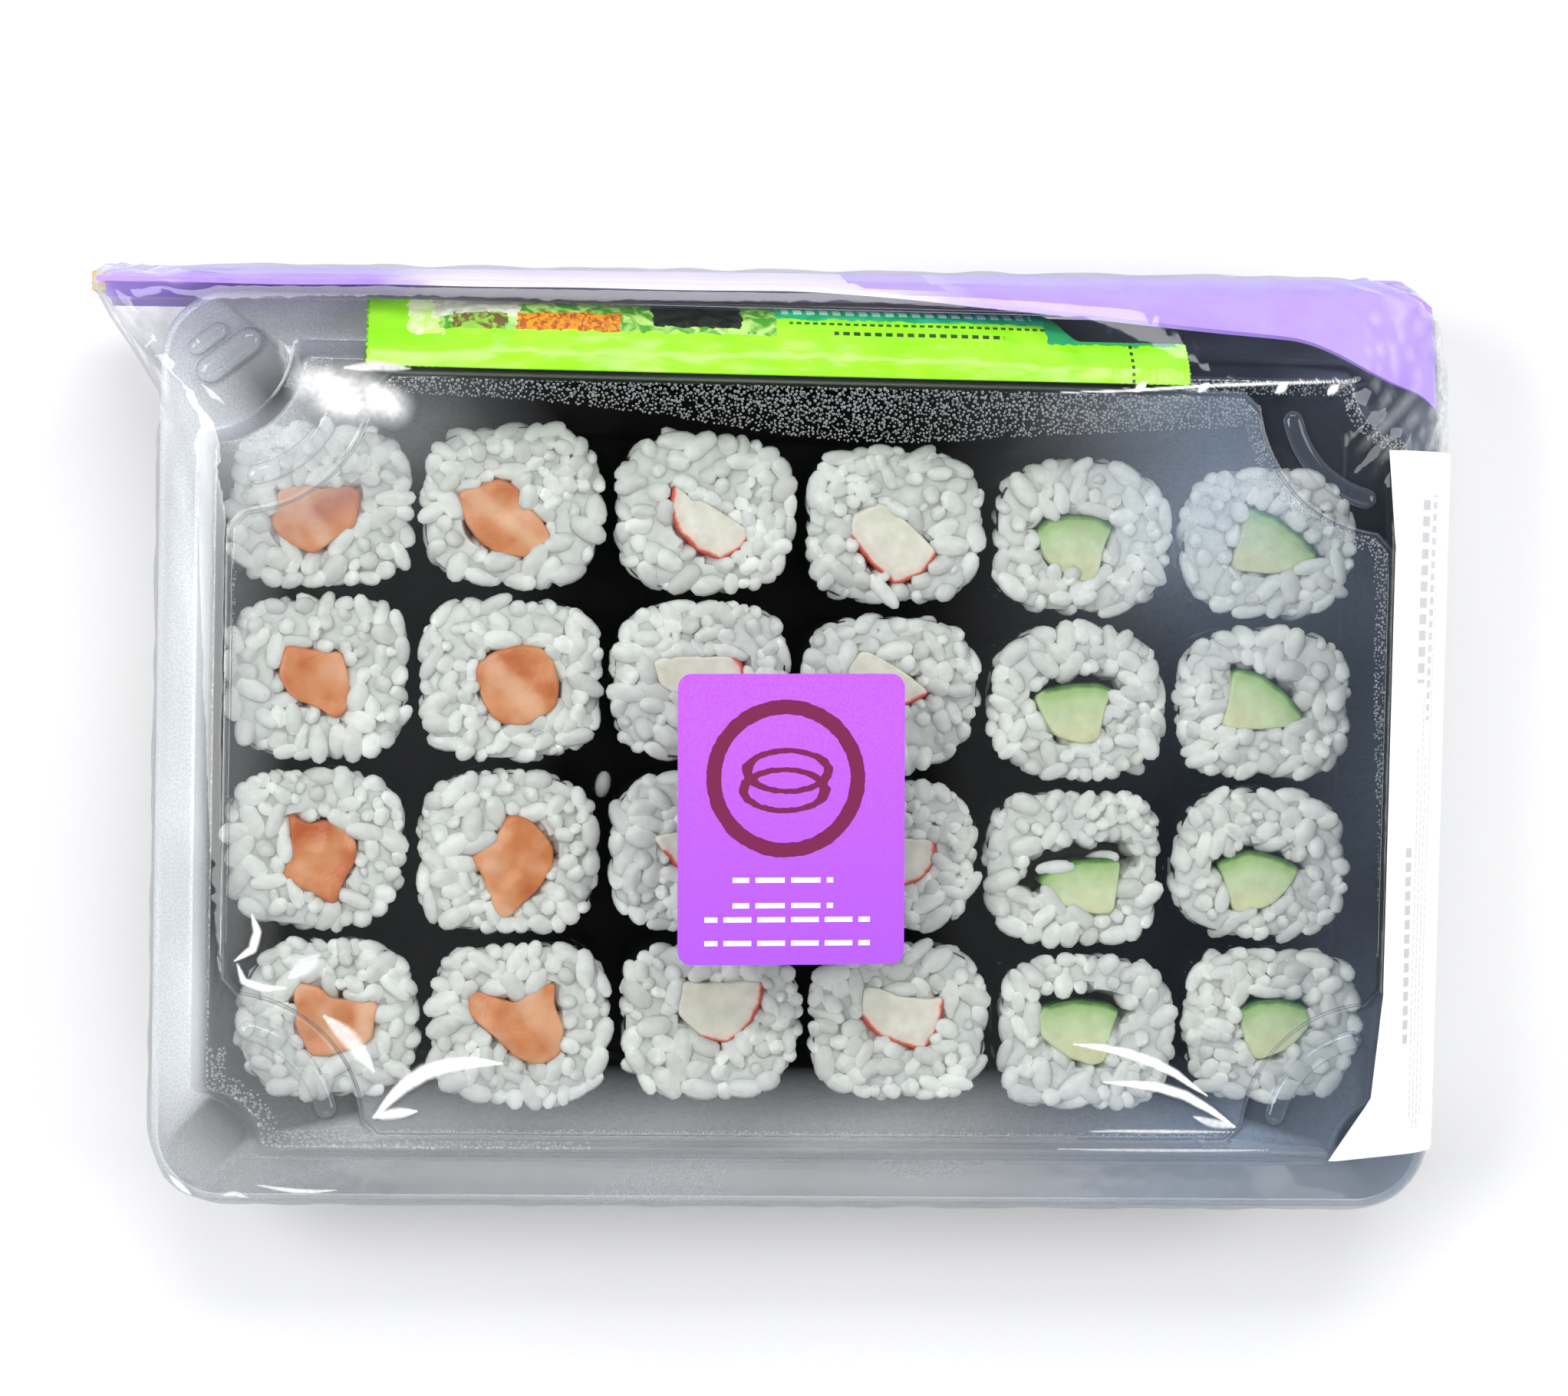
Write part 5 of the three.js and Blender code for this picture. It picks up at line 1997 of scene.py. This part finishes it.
    def build(self) -> list[Piece]:
        """Makes the sticks and the sleeve.

        Returns:
            Both pieces.
        """
        wood, paper = self.sticks(), self.sleeve()
        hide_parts("chopsticks")
        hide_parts("chopstick_sleeve")
        for piece in (wood, paper):
            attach(piece, "root")
        return [wood, paper]


@dataclass
class Sachet:
    """The soy sachet: full in the middle, with crimped and saw-cut ends."""

    left: float = -71.0
    right: float = 58.5
    seal: float = 8.5
    neck: float = 40.0
    narrowing: float = 0.45
    flat: float = 0.22
    line: tuple = (
        (60.4, 43.0, 0.3),
        (62.9, 42.2, 0.6),
        (65.3, 39.6, 1.9),
        (67.5, 37.1, 2.5),
        (69.6, 34.4, 1.9),
        (71.2, 32.0, 0.4),
    )
    normal: tuple = (0.68, 0.73)

    def build(self) -> Piece:
        """Lays the two films over each other, sealed at their edges.

        Returns:
            The sachet.
        """
        stations = np.linspace(self.left, self.right, 260)
        across = np.linspace(0, 1, 25)
        known = np.array(self.line)
        sides = []
        for sign in (1, -1):
            rows = []
            for x in stations:
                seal = min(
                    float(bend_step(abs(x - edge), self.seal * 0.9, self.seal + 12))
                    for edge in (self.left, self.right)
                )
                full = min(seal, 1 - float(bend_step(x, self.neck - 16, self.neck + 2)))
                narrow = float(bend_step(x, self.neck - 4.5, self.neck + 1.5))
                at = across * 5 * (1 - self.narrowing * narrow)
                y, z, half = (np.interp(at, np.arange(6), known[:, k]) for k in range(3))
                half = self.flat + (half - self.flat) * full
                half *= np.sin(math.pi * np.clip(across, 0.012, 0.988)) ** 0.25
                spots = np.column_stack([np.full(len(at), x), y, z])
                crimp = 0.12 * np.sin(x * 2 * math.pi / 0.9) * (1 - seal) ** 4
                folds = 0.28 * ripple(spots * [0.6, 1, 1], 9, 21) * full
                folds = (folds + 0.12 * ripple(spots, 4, 22)) * (1 if sign > 0 else 0.3)
                half = half + sign * crimp + folds * np.sin(math.pi * across)
                half = np.maximum(half, 0.05)
                spots[:, 1] += sign * half * self.normal[0]
                spots[:, 2] += sign * half * self.normal[1]
                rows.append(spots)
            rows = np.array(rows)
            saw = 0.55 * (np.abs((across * 14) % 1 - 0.5) * 2)
            rows[0, :, 0] += saw
            rows[-1, :, 0] -= saw
            sides.append(rows)
        ring = np.concatenate([sides[0], sides[1][:, ::-1]], axis=1)
        piece = sheet("soy_sachet_film", ring, closed=True)
        smooth(piece, 50)
        SachetFilm().dress(piece)
        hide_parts("soy_sachet")
        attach(piece, "root")
        return piece


# ------------------------------------------------------------------ film and labels


# Each glint is a painted highlight, a lamp's reflection laid on the film as white. It is the
# x and y of its points in turn, its half width and how white it is.
GLINTS = (
    ((42, -43.8, 47, -44.4, 51, -45.3, 55, -46.7, 58.5, -48.4, 61, -50.2, 63.5, -51.8), 1.0, 0.8),
    ((47, -49.8, 52, -50.1, 56, -50.6, 60, -51.8, 64, -54.0, 68.2, -56.8), 1.0, 0.85),
    ((61.5, -55.2, 64, -56.1, 68.2, -56.8), 0.9, 0.55),
    (
        (-67.6, -56.2, -65, -53.2, -63, -51.2, -60, -49.2, -56.5, -48.0, -52.5, -47.5, -48, -47.6),
        1.6,
        0.85,
    ),
    ((-67.6, -56.2, -64.5, -55.6, -61, -55.2), 1.1, 0.7),
    ((-86.9, -24.8, -86.0, -27.5, -86.7, -30.2, -89.4, -32.0), 0.9, 0.8),
    ((-89.0, -32.5, -88.0, -35.2, -85, -36.2, -81.5, -36.2), 0.8, 0.7),
    ((-81, -34.5, -78.5, -32.6, -76.5, -31.0), 1.8, 0.35),
    ((-75.5, -40.5, -72, -43.5, -69.3, -46.8, -67.8, -49), 1.8, 0.5),
    ((-79.5, 57.5, -76.0, 56.2, -72.0, 55.2, -69.0, 54.6, -66.5, 54.0), 6.8, 0.5),
    ((-77.0, 58.0, -75.0, 55.5, -73.0, 53.8), 4.2, 0.42),
    ((-69.5, 56.5, -68.0, 55.2, -66.8, 54.2), 3.4, 0.4),
    ((-74.0, 59.8, -69.0, 60.2, -64.0, 59.9), 1.0, 0.5),
    ((36, 58.6, 48, 59.2, 62, 60.4, 86, 61.8), 0.35, 0.7),
    ((49.2, 59.2, 51.0, 60.6), 0.8, 0.8),
    ((59.2, 59.3, 61.0, 60.7), 0.7, 0.75),
    ((71.8, 59.5, 73.6, 61.0), 0.9, 0.8),
    ((80.2, 59.5, 82.0, 61.0), 0.9, 0.8),
    ((44, -57.6, 56, -57.6, 68, -57.6), 0.35, 0.5),
    ((40, -60.6, 58, -60.7, 74, -60.6), 0.35, 0.45),
    ((-86.0, -68.4, -83.5, -69.0, -80.0, -69.6, -76.5, -69.7, -73.5, -69.4), 0.6, 0.8),
    ((-91.5, -70.6, -89.3, -70.2, -87.6, -71.0), 0.7, 0.7),
    ((-99.8, -67.8, -98.0, -69.6, -96.4, -71.0), 0.8, 0.75),
)


@dataclass
class Wrap:
    """The stretch film and the labels on it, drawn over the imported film's outside.

    profile is a rough section of the film, as pairs of how far out and how high. gathers are
    the places, at the left and at the right, that its folds run out from.
    """

    node: Piece
    inner: Outline = Outline(75, 42, round=20, steps=60, parts=1)
    heart_z: float = 20.0
    top_z: float = 44.3
    profile: tuple = (
        *((0, 44.3), (16, 44.3), (19.5, 42.6), (28.5, 30.3), (28.6, 25.2)),
        *((19.7, 0.5), (17.5, 0.5)),
    )
    gathers: tuple[Point, Point] = ((-118.0, 78.0), (106.0, 70.0))
    label: tuple = (-3.5, -8.9, 44.42)
    label_half: Point = (17.8, 22.8)
    label_turn: float = 0.018
    paper: float = 0.12

    def __post_init__(self) -> None:
        """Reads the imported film, to lay the drawn one on it."""
        self.tree = tree_of(self.node, epsilon=1e-4)

    def hit(self, start: Vector, way: Vector) -> Vector:
        """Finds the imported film's outside on a line from the pack's heart.

        A line through the very edge between two faces can miss both, so its neighbours
        are tried too, ever farther off, and the farthest find counts.

        Args:
            start: A point inside the pack, in millimetres.
            way: The way out, of length 1.

        Returns:
            The place on the film, or the start if nothing is found.
        """
        far = start + way * 200
        most = 0.0
        for reach in (0.0, 0.05, 0.2, 0.6):
            for nudge in ((1.0, 0.6, 1.4), (-1.2, 0.8, -1.0), (0.7, -1.3, 0.9)):
                spot = self.tree.ray_cast(far + Vector(nudge) * reach, -way)[0]
                if spot:
                    most = max(most, (spot - start).dot(way))
            if reach and most > 5:
                break
        return start + way * most

    def perimeter(self) -> tuple[np.ndarray, np.ndarray]:
        """Gives even points round the inner outline, and the way out at each.

        Returns:
            The points and the ways out, as rows of x and y.
        """
        corner = self.inner.points()
        line = []
        for (x1, y1), (x2, y2) in zip(corner, corner[1:] + corner[:1]):
            steps = max(int(math.dist((x1, y1), (x2, y2)) / 1.3), 1)
            wide, deep = x2 - x1, y2 - y1
            line += [(x1 + wide * k / steps, y1 + deep * k / steps) for k in range(steps)]
        spots = np.array(line)
        core = np.clip(spots, [-55, -22], [55, 22])
        ways = spots - core
        return spots, ways / np.linalg.norm(ways, axis=1, keepdims=True)

    def angles(self) -> np.ndarray:
        """Gives the angles from straight up that step evenly along the film's profile.

        Returns:
            The angles.
        """
        knots = np.array(self.profile, float)
        run = np.concatenate([[0], np.cumsum(np.linalg.norm(np.diff(knots, axis=0), axis=1))])
        even = np.arange(0, run[-1], 0.95)
        out = np.interp(even, run, knots[:, 0])
        high = np.interp(even, run, knots[:, 1]) - self.heart_z
        return np.arctan2(out, high)

    def film(self) -> Piece:
        """Draws the film from the middle of the lid, over the edges and under the border.

        Returns:
            The film.
        """
        spots, ways = self.perimeter()
        rows = []
        for share in (0.0, 0.2, 0.4, 0.55, 0.7, 0.8, 0.9):
            starts = [Vector((x * share, y * share, 30)) for x, y in spots]
            rows.append([tuple(self.hit(start, Vector((0, 0, 1)))) for start in starts])
        for angle in self.angles():
            out, up = math.sin(angle), math.cos(angle)
            row = []
            for (x, y), (u, v) in zip(spots, ways):
                way = Vector((u * out, v * out, up))
                row.append(tuple(self.hit(Vector((x, y, self.heart_z)), way)))
            rows.append(row)
        piece = sheet("stretch_film", np.array(rows), closed=True)
        with editing(piece):
            bpy.ops.mesh.normals_make_consistent(inside=False)
            bpy.ops.mesh.vertices_smooth(factor=0.5, repeat=3)
            self.refine(piece)
        self.crumple(piece)
        smooth(piece, 60)
        note(piece, "haze_and_painted_light", self.haze_and_painted_light(piece))
        STRETCH_FILM.dress(piece)
        return piece

    def refine(self, piece: Piece) -> None:
        """Divides the film's faces where a glint needs a crisp edge.

        Args:
            piece: The film, in edit mode.
        """
        mesh = bmesh.from_edit_mesh(piece.data)
        middles = np.array([tuple(face.calc_center_median() / MM) for face in mesh.faces])
        close = np.zeros(len(middles), bool)
        for line, width, _ in GLINTS:
            close |= self.near(middles[:, :2], line, width + 1.2, 1.0) > 0
        for face, chosen in zip(mesh.faces, close & (middles[:, 2] > 28)):
            face.select_set(bool(chosen))
        bpy.ops.mesh.subdivide(number_cuts=4)

    def crumple(self, piece: Piece) -> None:
        """Presses folds into the film where it gathers over the sleeve's ends.

        Args:
            piece: The film.
        """
        spots, normals = places(piece), facings(piece)
        x, y, z = spots.T
        fan, swirl = self.fans(spots)
        left = bend_step(-x, 84, 98) * bend_step(y, 38, 58)
        depth = left * (0.35 + 0.35 * np.sin(fan * 46) + 0.25 * np.sin(fan * 87 + 1))
        right = bend_step(x, 78, 92) * bend_step(y, 40, 54)
        depth += right * (0.3 + 0.3 * np.sin(swirl * 38) + 0.2 * np.sin(swirl * 71 + 2))
        side = bend_step(np.abs(z - 22), 22, 4) * bend_step(1 - normals[:, 2], 0.35, 0.8)
        depth += side * (0.18 + 0.18 * ripple(spots * [1, 1, 0.22], 7, 31))
        spots -= normals * np.clip(depth, 0, 0.9)[:, None]
        piece.data.vertices.foreach_set("co", (spots * MM).astype(np.float32).ravel())
        piece.data.update()

    def fans(self, spots: np.ndarray) -> list[np.ndarray]:
        """Gives the angle of each point round the left and round the right gather."""
        return [np.arctan2(spots[:, 1] - y, spots[:, 0] - x) for x, y in self.gathers]

    def haze_and_painted_light(self, piece: Piece) -> np.ndarray:
        """Tells how milky the film is at each point.

        Args:
            piece: The film; clear on top, whiter where gathered, with painted highlights.

        Returns:
            The share of light that it scatters at each point.
        """
        spots = places(piece)
        x, y, z = spots.T
        slope = bend_step(1 - facings(piece)[:, 2], 0.1, 0.5)
        haze_and_painted_light = 0.05 * slope
        fan, swirl = self.fans(spots)
        # Painted highlights along the folds that fan out from each gather.
        fold_highlights = np.maximum(np.sin(fan * 60), 0) ** 3
        haze_and_painted_light += slope * bend_step(-x, 97, 102) * bend_step(y, 40, 60) * (0.12 + 0.3 * fold_highlights)
        fold_highlights = np.maximum(np.sin(swirl * 44), 0) ** 3
        haze_and_painted_light += bend_step(x, 84, 90) * bend_step(y, 46, 52) * 0.16 * fold_highlights
        haze_and_painted_light += slope * bend_step(x, 95, 100) * bend_step(y, 38, 50) * 0.4
        # Glints: painted highlights, lamp reflections laid on as white.
        for line, width, strength in GLINTS:
            haze_and_painted_light += strength * self.near(spots[:, :2], line, width) * (z > 28)
        return np.clip(haze_and_painted_light, 0, 1)

    def near(
        self, spots: np.ndarray, points: tuple, width: float, blunt: float = 0.0
    ) -> np.ndarray:
        """Tells how near spots are to a line, as 0 to 1.

        Args:
            spots: The spots, as rows of x and y.
            points: The x and y of the line's points in turn.
            width: How far it reaches.
            blunt: 0 for a line that thins out towards its ends, 1 for an even one.

        Returns:
            One number for each point.
        """
        line = np.array(points).reshape(-1, 2)
        best = np.zeros(len(spots))
        crisp = 0.35 if width < 3 else 0.0
        blunt = max(blunt, 0.6 * (width > 3))
        run = np.concatenate([[0], np.cumsum(np.linalg.norm(np.diff(line, axis=0), axis=1))])
        for a, b, before in zip(line, line[1:], run):
            length = np.linalg.norm(b - a)
            share = np.clip(((spots - a) @ (b - a)) / length**2, 0, 1)
            away = np.linalg.norm(spots - a - share[:, None] * (b - a), axis=1)
            along = np.clip((before + share * length) / run[-1], 0.03, 0.97)
            swell = np.maximum(np.sin(math.pi * along) ** 0.7, blunt)
            best = np.maximum(best, 1 - bend_step(away, crisp * width * swell, width * swell))
        return best

    def square_label(self) -> Piece:
        """Sticks the square label on the panel.

        Returns:
            The label.
        """
        deselect()
        bpy.ops.mesh.primitive_plane_add(size=2)
        piece = renamed("square_label_paper")
        bpy.ops.transform.resize(value=(self.label_half[0] * MM, self.label_half[1] * MM, 1))
        bpy.ops.object.transform_apply(location=False, rotation=False, scale=True)
        with editing(piece):
            bpy.ops.mesh.bevel(offset=2.2 * MM, segments=6, affect="VERTICES")
        turn = Matrix.Rotation(self.label_turn, 4, "Z")
        piece.data.transform(Matrix.Translation(Vector(self.label) * MM) @ turn)
        thicken(piece, self.paper, offset=1)
        SquareLabelPaper().dress(piece)
        return piece

    def price_label(self) -> Piece:
        """Wraps the price label over the shoulder's edge and down the right side.

        Returns:
            The label.
        """
        front_y, back_y, corner_y = -62.4, 50.9, -52.4
        heart_x, inner_x, corner_x = 70, 91.4, 84.7
        last = math.atan2(98.5 - heart_x, 5.2 - self.heart_z)
        rows = []
        for y in np.linspace(front_y, back_y, 90):
            inner = np.interp(y, (front_y, corner_y), (corner_x, inner_x))
            start = Vector((heart_x, y, self.heart_z))
            first = math.atan2(inner - heart_x, self.top_z - self.heart_z)
            row = []
            for angle in np.linspace(first, last, 44):
                way = Vector((math.sin(angle), 0, math.cos(angle)))
                row.append(tuple(self.hit(start, way) + way * 0.1))
            rows.append(row)
        piece = sheet("price_label_paper", np.array(rows))
        thicken(piece, self.paper, offset=1)
        smooth(piece, 60)
        ThermalPaper().dress(piece)
        return piece

    def build(self) -> list[Piece]:
        """Makes the film and both labels.

        Returns:
            The three pieces.
        """
        made = [self.film(), self.square_label(), self.price_label()]
        nodes = ("wrap_film", "square_label", "price_label")
        slots = ("film", "square_label", "price_label")
        for piece, node, slot in zip(made, nodes, slots):
            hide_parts(node)
            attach(piece, "root")
        return made


# ------------------------------------------------------------------ condensation


@dataclass
class Condensation:
    """Water drops on the inside of the lid, thickest along its cooler back edge.

    crowd is how many drops are tried on each square millimetre of a band. below_z is where
    the rays start that find the lid's inner face.
    """

    lid: Piece
    seed: int = 5
    crowd: float = 9.0
    below_z: float = 31.5

    def build(self) -> Piece:
        """Draws drops in each zone and hangs them on the lid's inner face.

        Returns:
            The drops.
        """
        tree = tree_of(self.lid)
        draw = np.random.default_rng(self.seed)
        poses = []
        for x, y, size in self.drops(draw):
            found, normal, _, _ = tree.ray_cast(Vector((x, y, self.below_z)), Vector((0, 0, 1)))
            if found is None or found.z < self.below_z + 0.5:
                continue
            turn = (-normal if normal.z > 0 else normal).to_track_quat("Z", "Y").to_matrix()
            wide, long = size * draw.uniform(0.85, 1.15, 2)
            poses.append(posed(found, turn, (wide, long, size * 0.55)))
        LOG.info("the lid holds %d drops", len(poses))
        deselect()
        bpy.ops.mesh.primitive_uv_sphere_add(segments=7, ring_count=4, radius=MM)
        ball = bpy.context.object
        with editing(ball):
            bpy.ops.mesh.bisect(
                plane_co=(0, 0, 0.02 * MM), plane_no=(0, 0, 1), clear_inner=True, use_fill=True
            )
        piece = copies("lid_condensation", ball, np.array(poses))
        Water().dress(piece)
        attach(piece, "root")
        return piece

    def panel_band(self, x: float, y: float) -> tuple[float, float]:
        """Tells how far the drops reach in from the panel's edge, and how large they are.

        Args:
            x: The edge point's x.
            y: The edge point's y.

        Returns:
            The band's width, 0 for no drops, and the largest drop's radius.
        """
        if y > 57:
            belly = 6.0 * math.exp(-(((x - 10) / 38) ** 2))
            return 2.4 + belly + 1.6 * float(bend_step(x, 20, 60)), 0.27
        if x > 66 and y > 30:
            return 2.2, 0.24
        if x > 89 and y > -22:
            return 1.8 * float(bend_step(y, -26, 20)), 0.24
        if x < -89 and y > 12 or y < -57 and abs(x) < 66:
            return 0.5, 0.2
        return 0.0, 0.0

    def shoulder_band(self, x: float, y: float) -> tuple[float, float]:
        """Tells the same for the shoulder's edge.

        Args:
            x: The edge point's x.
            y: The edge point's y.

        Returns:
            The band's width, below 0 for drops down the wall outside, and the radius.
        """
        if x > 56 and y > 44:
            return 2.2, 0.25
        if y > 48 and x < -76:
            return 1.8, 0.24
        if x < -92 and y > -46:
            return -2.8, 0.3
        if x < -72 and y < -44:
            return 2.8, 0.32
        if y < -60 and x < -34:
            return 1.2, 0.34
        return 0.0, 0.0

    def drops(self, draw: np.random.Generator) -> list[tuple[float, float, float]]:
        """Lists drops, no two too close to each other.

        Args:
            draw: Where the random numbers come from.

        Returns:
            The x, y and radius of each drop.
        """
        made: list[tuple[float, float, float]] = []
        cells: dict[tuple[int, int], list[tuple[float, float, float]]] = {}
        for outline, band in ((PANEL, self.panel_band), (SHOULDER, self.shoulder_band)):
            line = np.array(outline.points(0.35))
            for start, end in zip(line, np.roll(line, -1, axis=0)):
                widest = max(abs(band(*spot)[0]) for spot in (start, (start + end) / 2, end))
                run = float(np.linalg.norm(end - start))
                if not widest or run < 1e-6:
                    continue
                inward = np.array([start[1] - end[1], end[0] - start[0]]) / run
                for _ in range(int(run * widest * self.crowd) + 1):
                    foot = start + (end - start) * draw.uniform(0, 1)
                    wide, size = band(*foot)
                    deep = draw.uniform(0, 1) ** 1.4
                    x, y = foot + inward * deep * wide
                    radius = size * (1 - 0.35 * deep) * draw.uniform(0.6, 1.15)
                    if not wide or draw.uniform(0, widest) > abs(wide):
                        continue
                    i, j = int(x // 1), int(y // 1)
                    block = [(i + k, j + m) for k in (-1, 0, 1) for m in (-1, 0, 1)]
                    near = [drop for cell in block for drop in cells.get(cell, ())]
                    if all(math.dist((x, y), (u, v)) > (radius + r) * 0.97 for u, v, r in near):
                        made.append((x, y, radius))
                        cells.setdefault((i, j), []).append(made[-1])
        return made


# ------------------------------------------------------------------ setting


@dataclass
class Setting:
    """Floor, light and camera.

    The camera's focal length and frame width are in picture points. A lamp is its name,
    place, width and height, and its power in watts.
    """

    focal_px: float = 4974.0
    frame_px: float = 2044.0
    sensor_mm: float = 36.0
    turns: tuple[float, float, float] = (2.48, 5.23, -1.20)
    shift: tuple[float, float, float] = (3.5, -9.5, -610.9)
    rim_z: float = 29.8
    lamps: tuple = (
        ("soft_box_left", (-640, 130, 780), (560, 440), 6.6),
        ("soft_box_right", (780, 90, 760), (560, 440), 4.4),
        ("soft_box_front", (40, -720, 780), (1000, 440), 1.9),
        ("soft_box_back", (0, 620, 780), (640, 280), 4.9),
        ("strip_left", (-430, 150, 800), (500, 40), 0.2),
        ("strip_front", (60, -430, 800), (500, 40), 0.2),
    )

    def camera(self) -> None:
        """Places the camera above the pack, almost straight down."""
        rx, ry, rz = map(math.radians, self.turns)
        view = Matrix.Rotation(rz, 3, "Z") @ Matrix.Rotation(rx, 3, "X")
        view @= Matrix.Rotation(ry, 3, "Y")
        place = -(view.transposed() @ Vector(self.shift)) + Vector((0, 0, self.rim_z))
        deselect()
        bpy.ops.object.camera_add(location=place * MM, rotation=view.transposed().to_euler())
        camera = bpy.context.object
        camera.name = "camera"
        camera.data.sensor_fit = "HORIZONTAL"
        camera.data.sensor_width = self.sensor_mm
        camera.data.lens = self.focal_px * self.sensor_mm / self.frame_px
        camera.data.clip_start = 0.01
        bpy.context.scene.camera = camera

    def floor(self) -> None:
        """Lays a plain pale floor with the faintest mottle."""
        deselect()
        bpy.ops.mesh.primitive_plane_add(size=8)
        piece = renamed("floor")
        Board().dress(piece)

    def lamp(self, name: str, place: tuple, size: tuple, power: float) -> None:
        """Adds a soft box that faces the pack.

        Args:
            name: The lamp's name.
            place: Where it is, in millimetres.
            size: Its width and height in millimetres.
            power: Its power in watts.
        """
        deselect()
        spot = Vector(place) * MM
        aim = (Vector((0, 0, 20)) * MM - spot).to_track_quat("-Z", "Y").to_euler()
        bpy.ops.object.light_add(type="AREA", location=spot, rotation=aim)
        lamp = bpy.context.object
        lamp.name = name
        lamp.data.shape = "RECTANGLE"
        lamp.data.size, lamp.data.size_y = size[0] * MM, size[1] * MM
        lamp.data.energy = power

    def sky(self) -> None:
        """Surrounds the set with light walls under a dark ceiling."""
        world = bpy.data.worlds.new("studio")
        bpy.context.scene.world = world
        nodes = Nodes(world)
        way = nodes.add("TexCoord")
        height = nodes.add("SeparateXYZ", {0: way}, 2)
        walls = [(0.0, "#ffffff"), (0.25, "#f2f3f5"), (0.5, "#a9abb0")]
        stops = [*walls, (0.8, "#3e4045"), (1.0, "#1d1e21")]
        tone = nodes.add("ValToRGB", {0: height}, stops=stops)
        nodes.add("OutputWorld", {0: nodes.add("Background", {0: tone, 1: 1.2})})

    def build(self) -> None:
        """Sets up everything that isn't part of the pack."""
        self.floor()
        self.sky()
        for name, place, size, power in self.lamps:
            self.lamp(name, place, size, power)
        self.camera()
        scene = bpy.context.scene
        scene.view_settings.view_transform = "Standard"
        scene.cycles.transparent_max_bounces = 24


def main() -> None:
    """Builds the pack's looks in order."""
    logging.basicConfig(level=logging.INFO, format="%(name)s: %(message)s")
    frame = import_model()
    tray = Tray().build()
    lid = Lid().build()
    for piece, node in ((tray, "tray"), (lid, "lid")):
        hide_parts(node)
        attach(piece, "root")
        LOG.info("%s: %d faces", piece.name, len(piece.data.polygons))
    steps: list[tuple[str, Callable[[], object]]] = [
        *[(f"{kind.value} rolls", RollSet(kind).build) for kind in Kind],
        ("chopsticks", Chopsticks().build),
        ("sachet", Sachet().build),
        ("film and labels", Wrap(frame["nodes"]["wrap_film"]).build),
        ("condensation", Condensation(lid).build),
    ]
    for name, step in steps:
        made = step()
        for piece in made if isinstance(made, list) else [made]:
            LOG.info("%s, %s: %d faces", name, piece.name, len(piece.data.polygons))
    Setting().build()


if __name__ == "__main__":
    main()
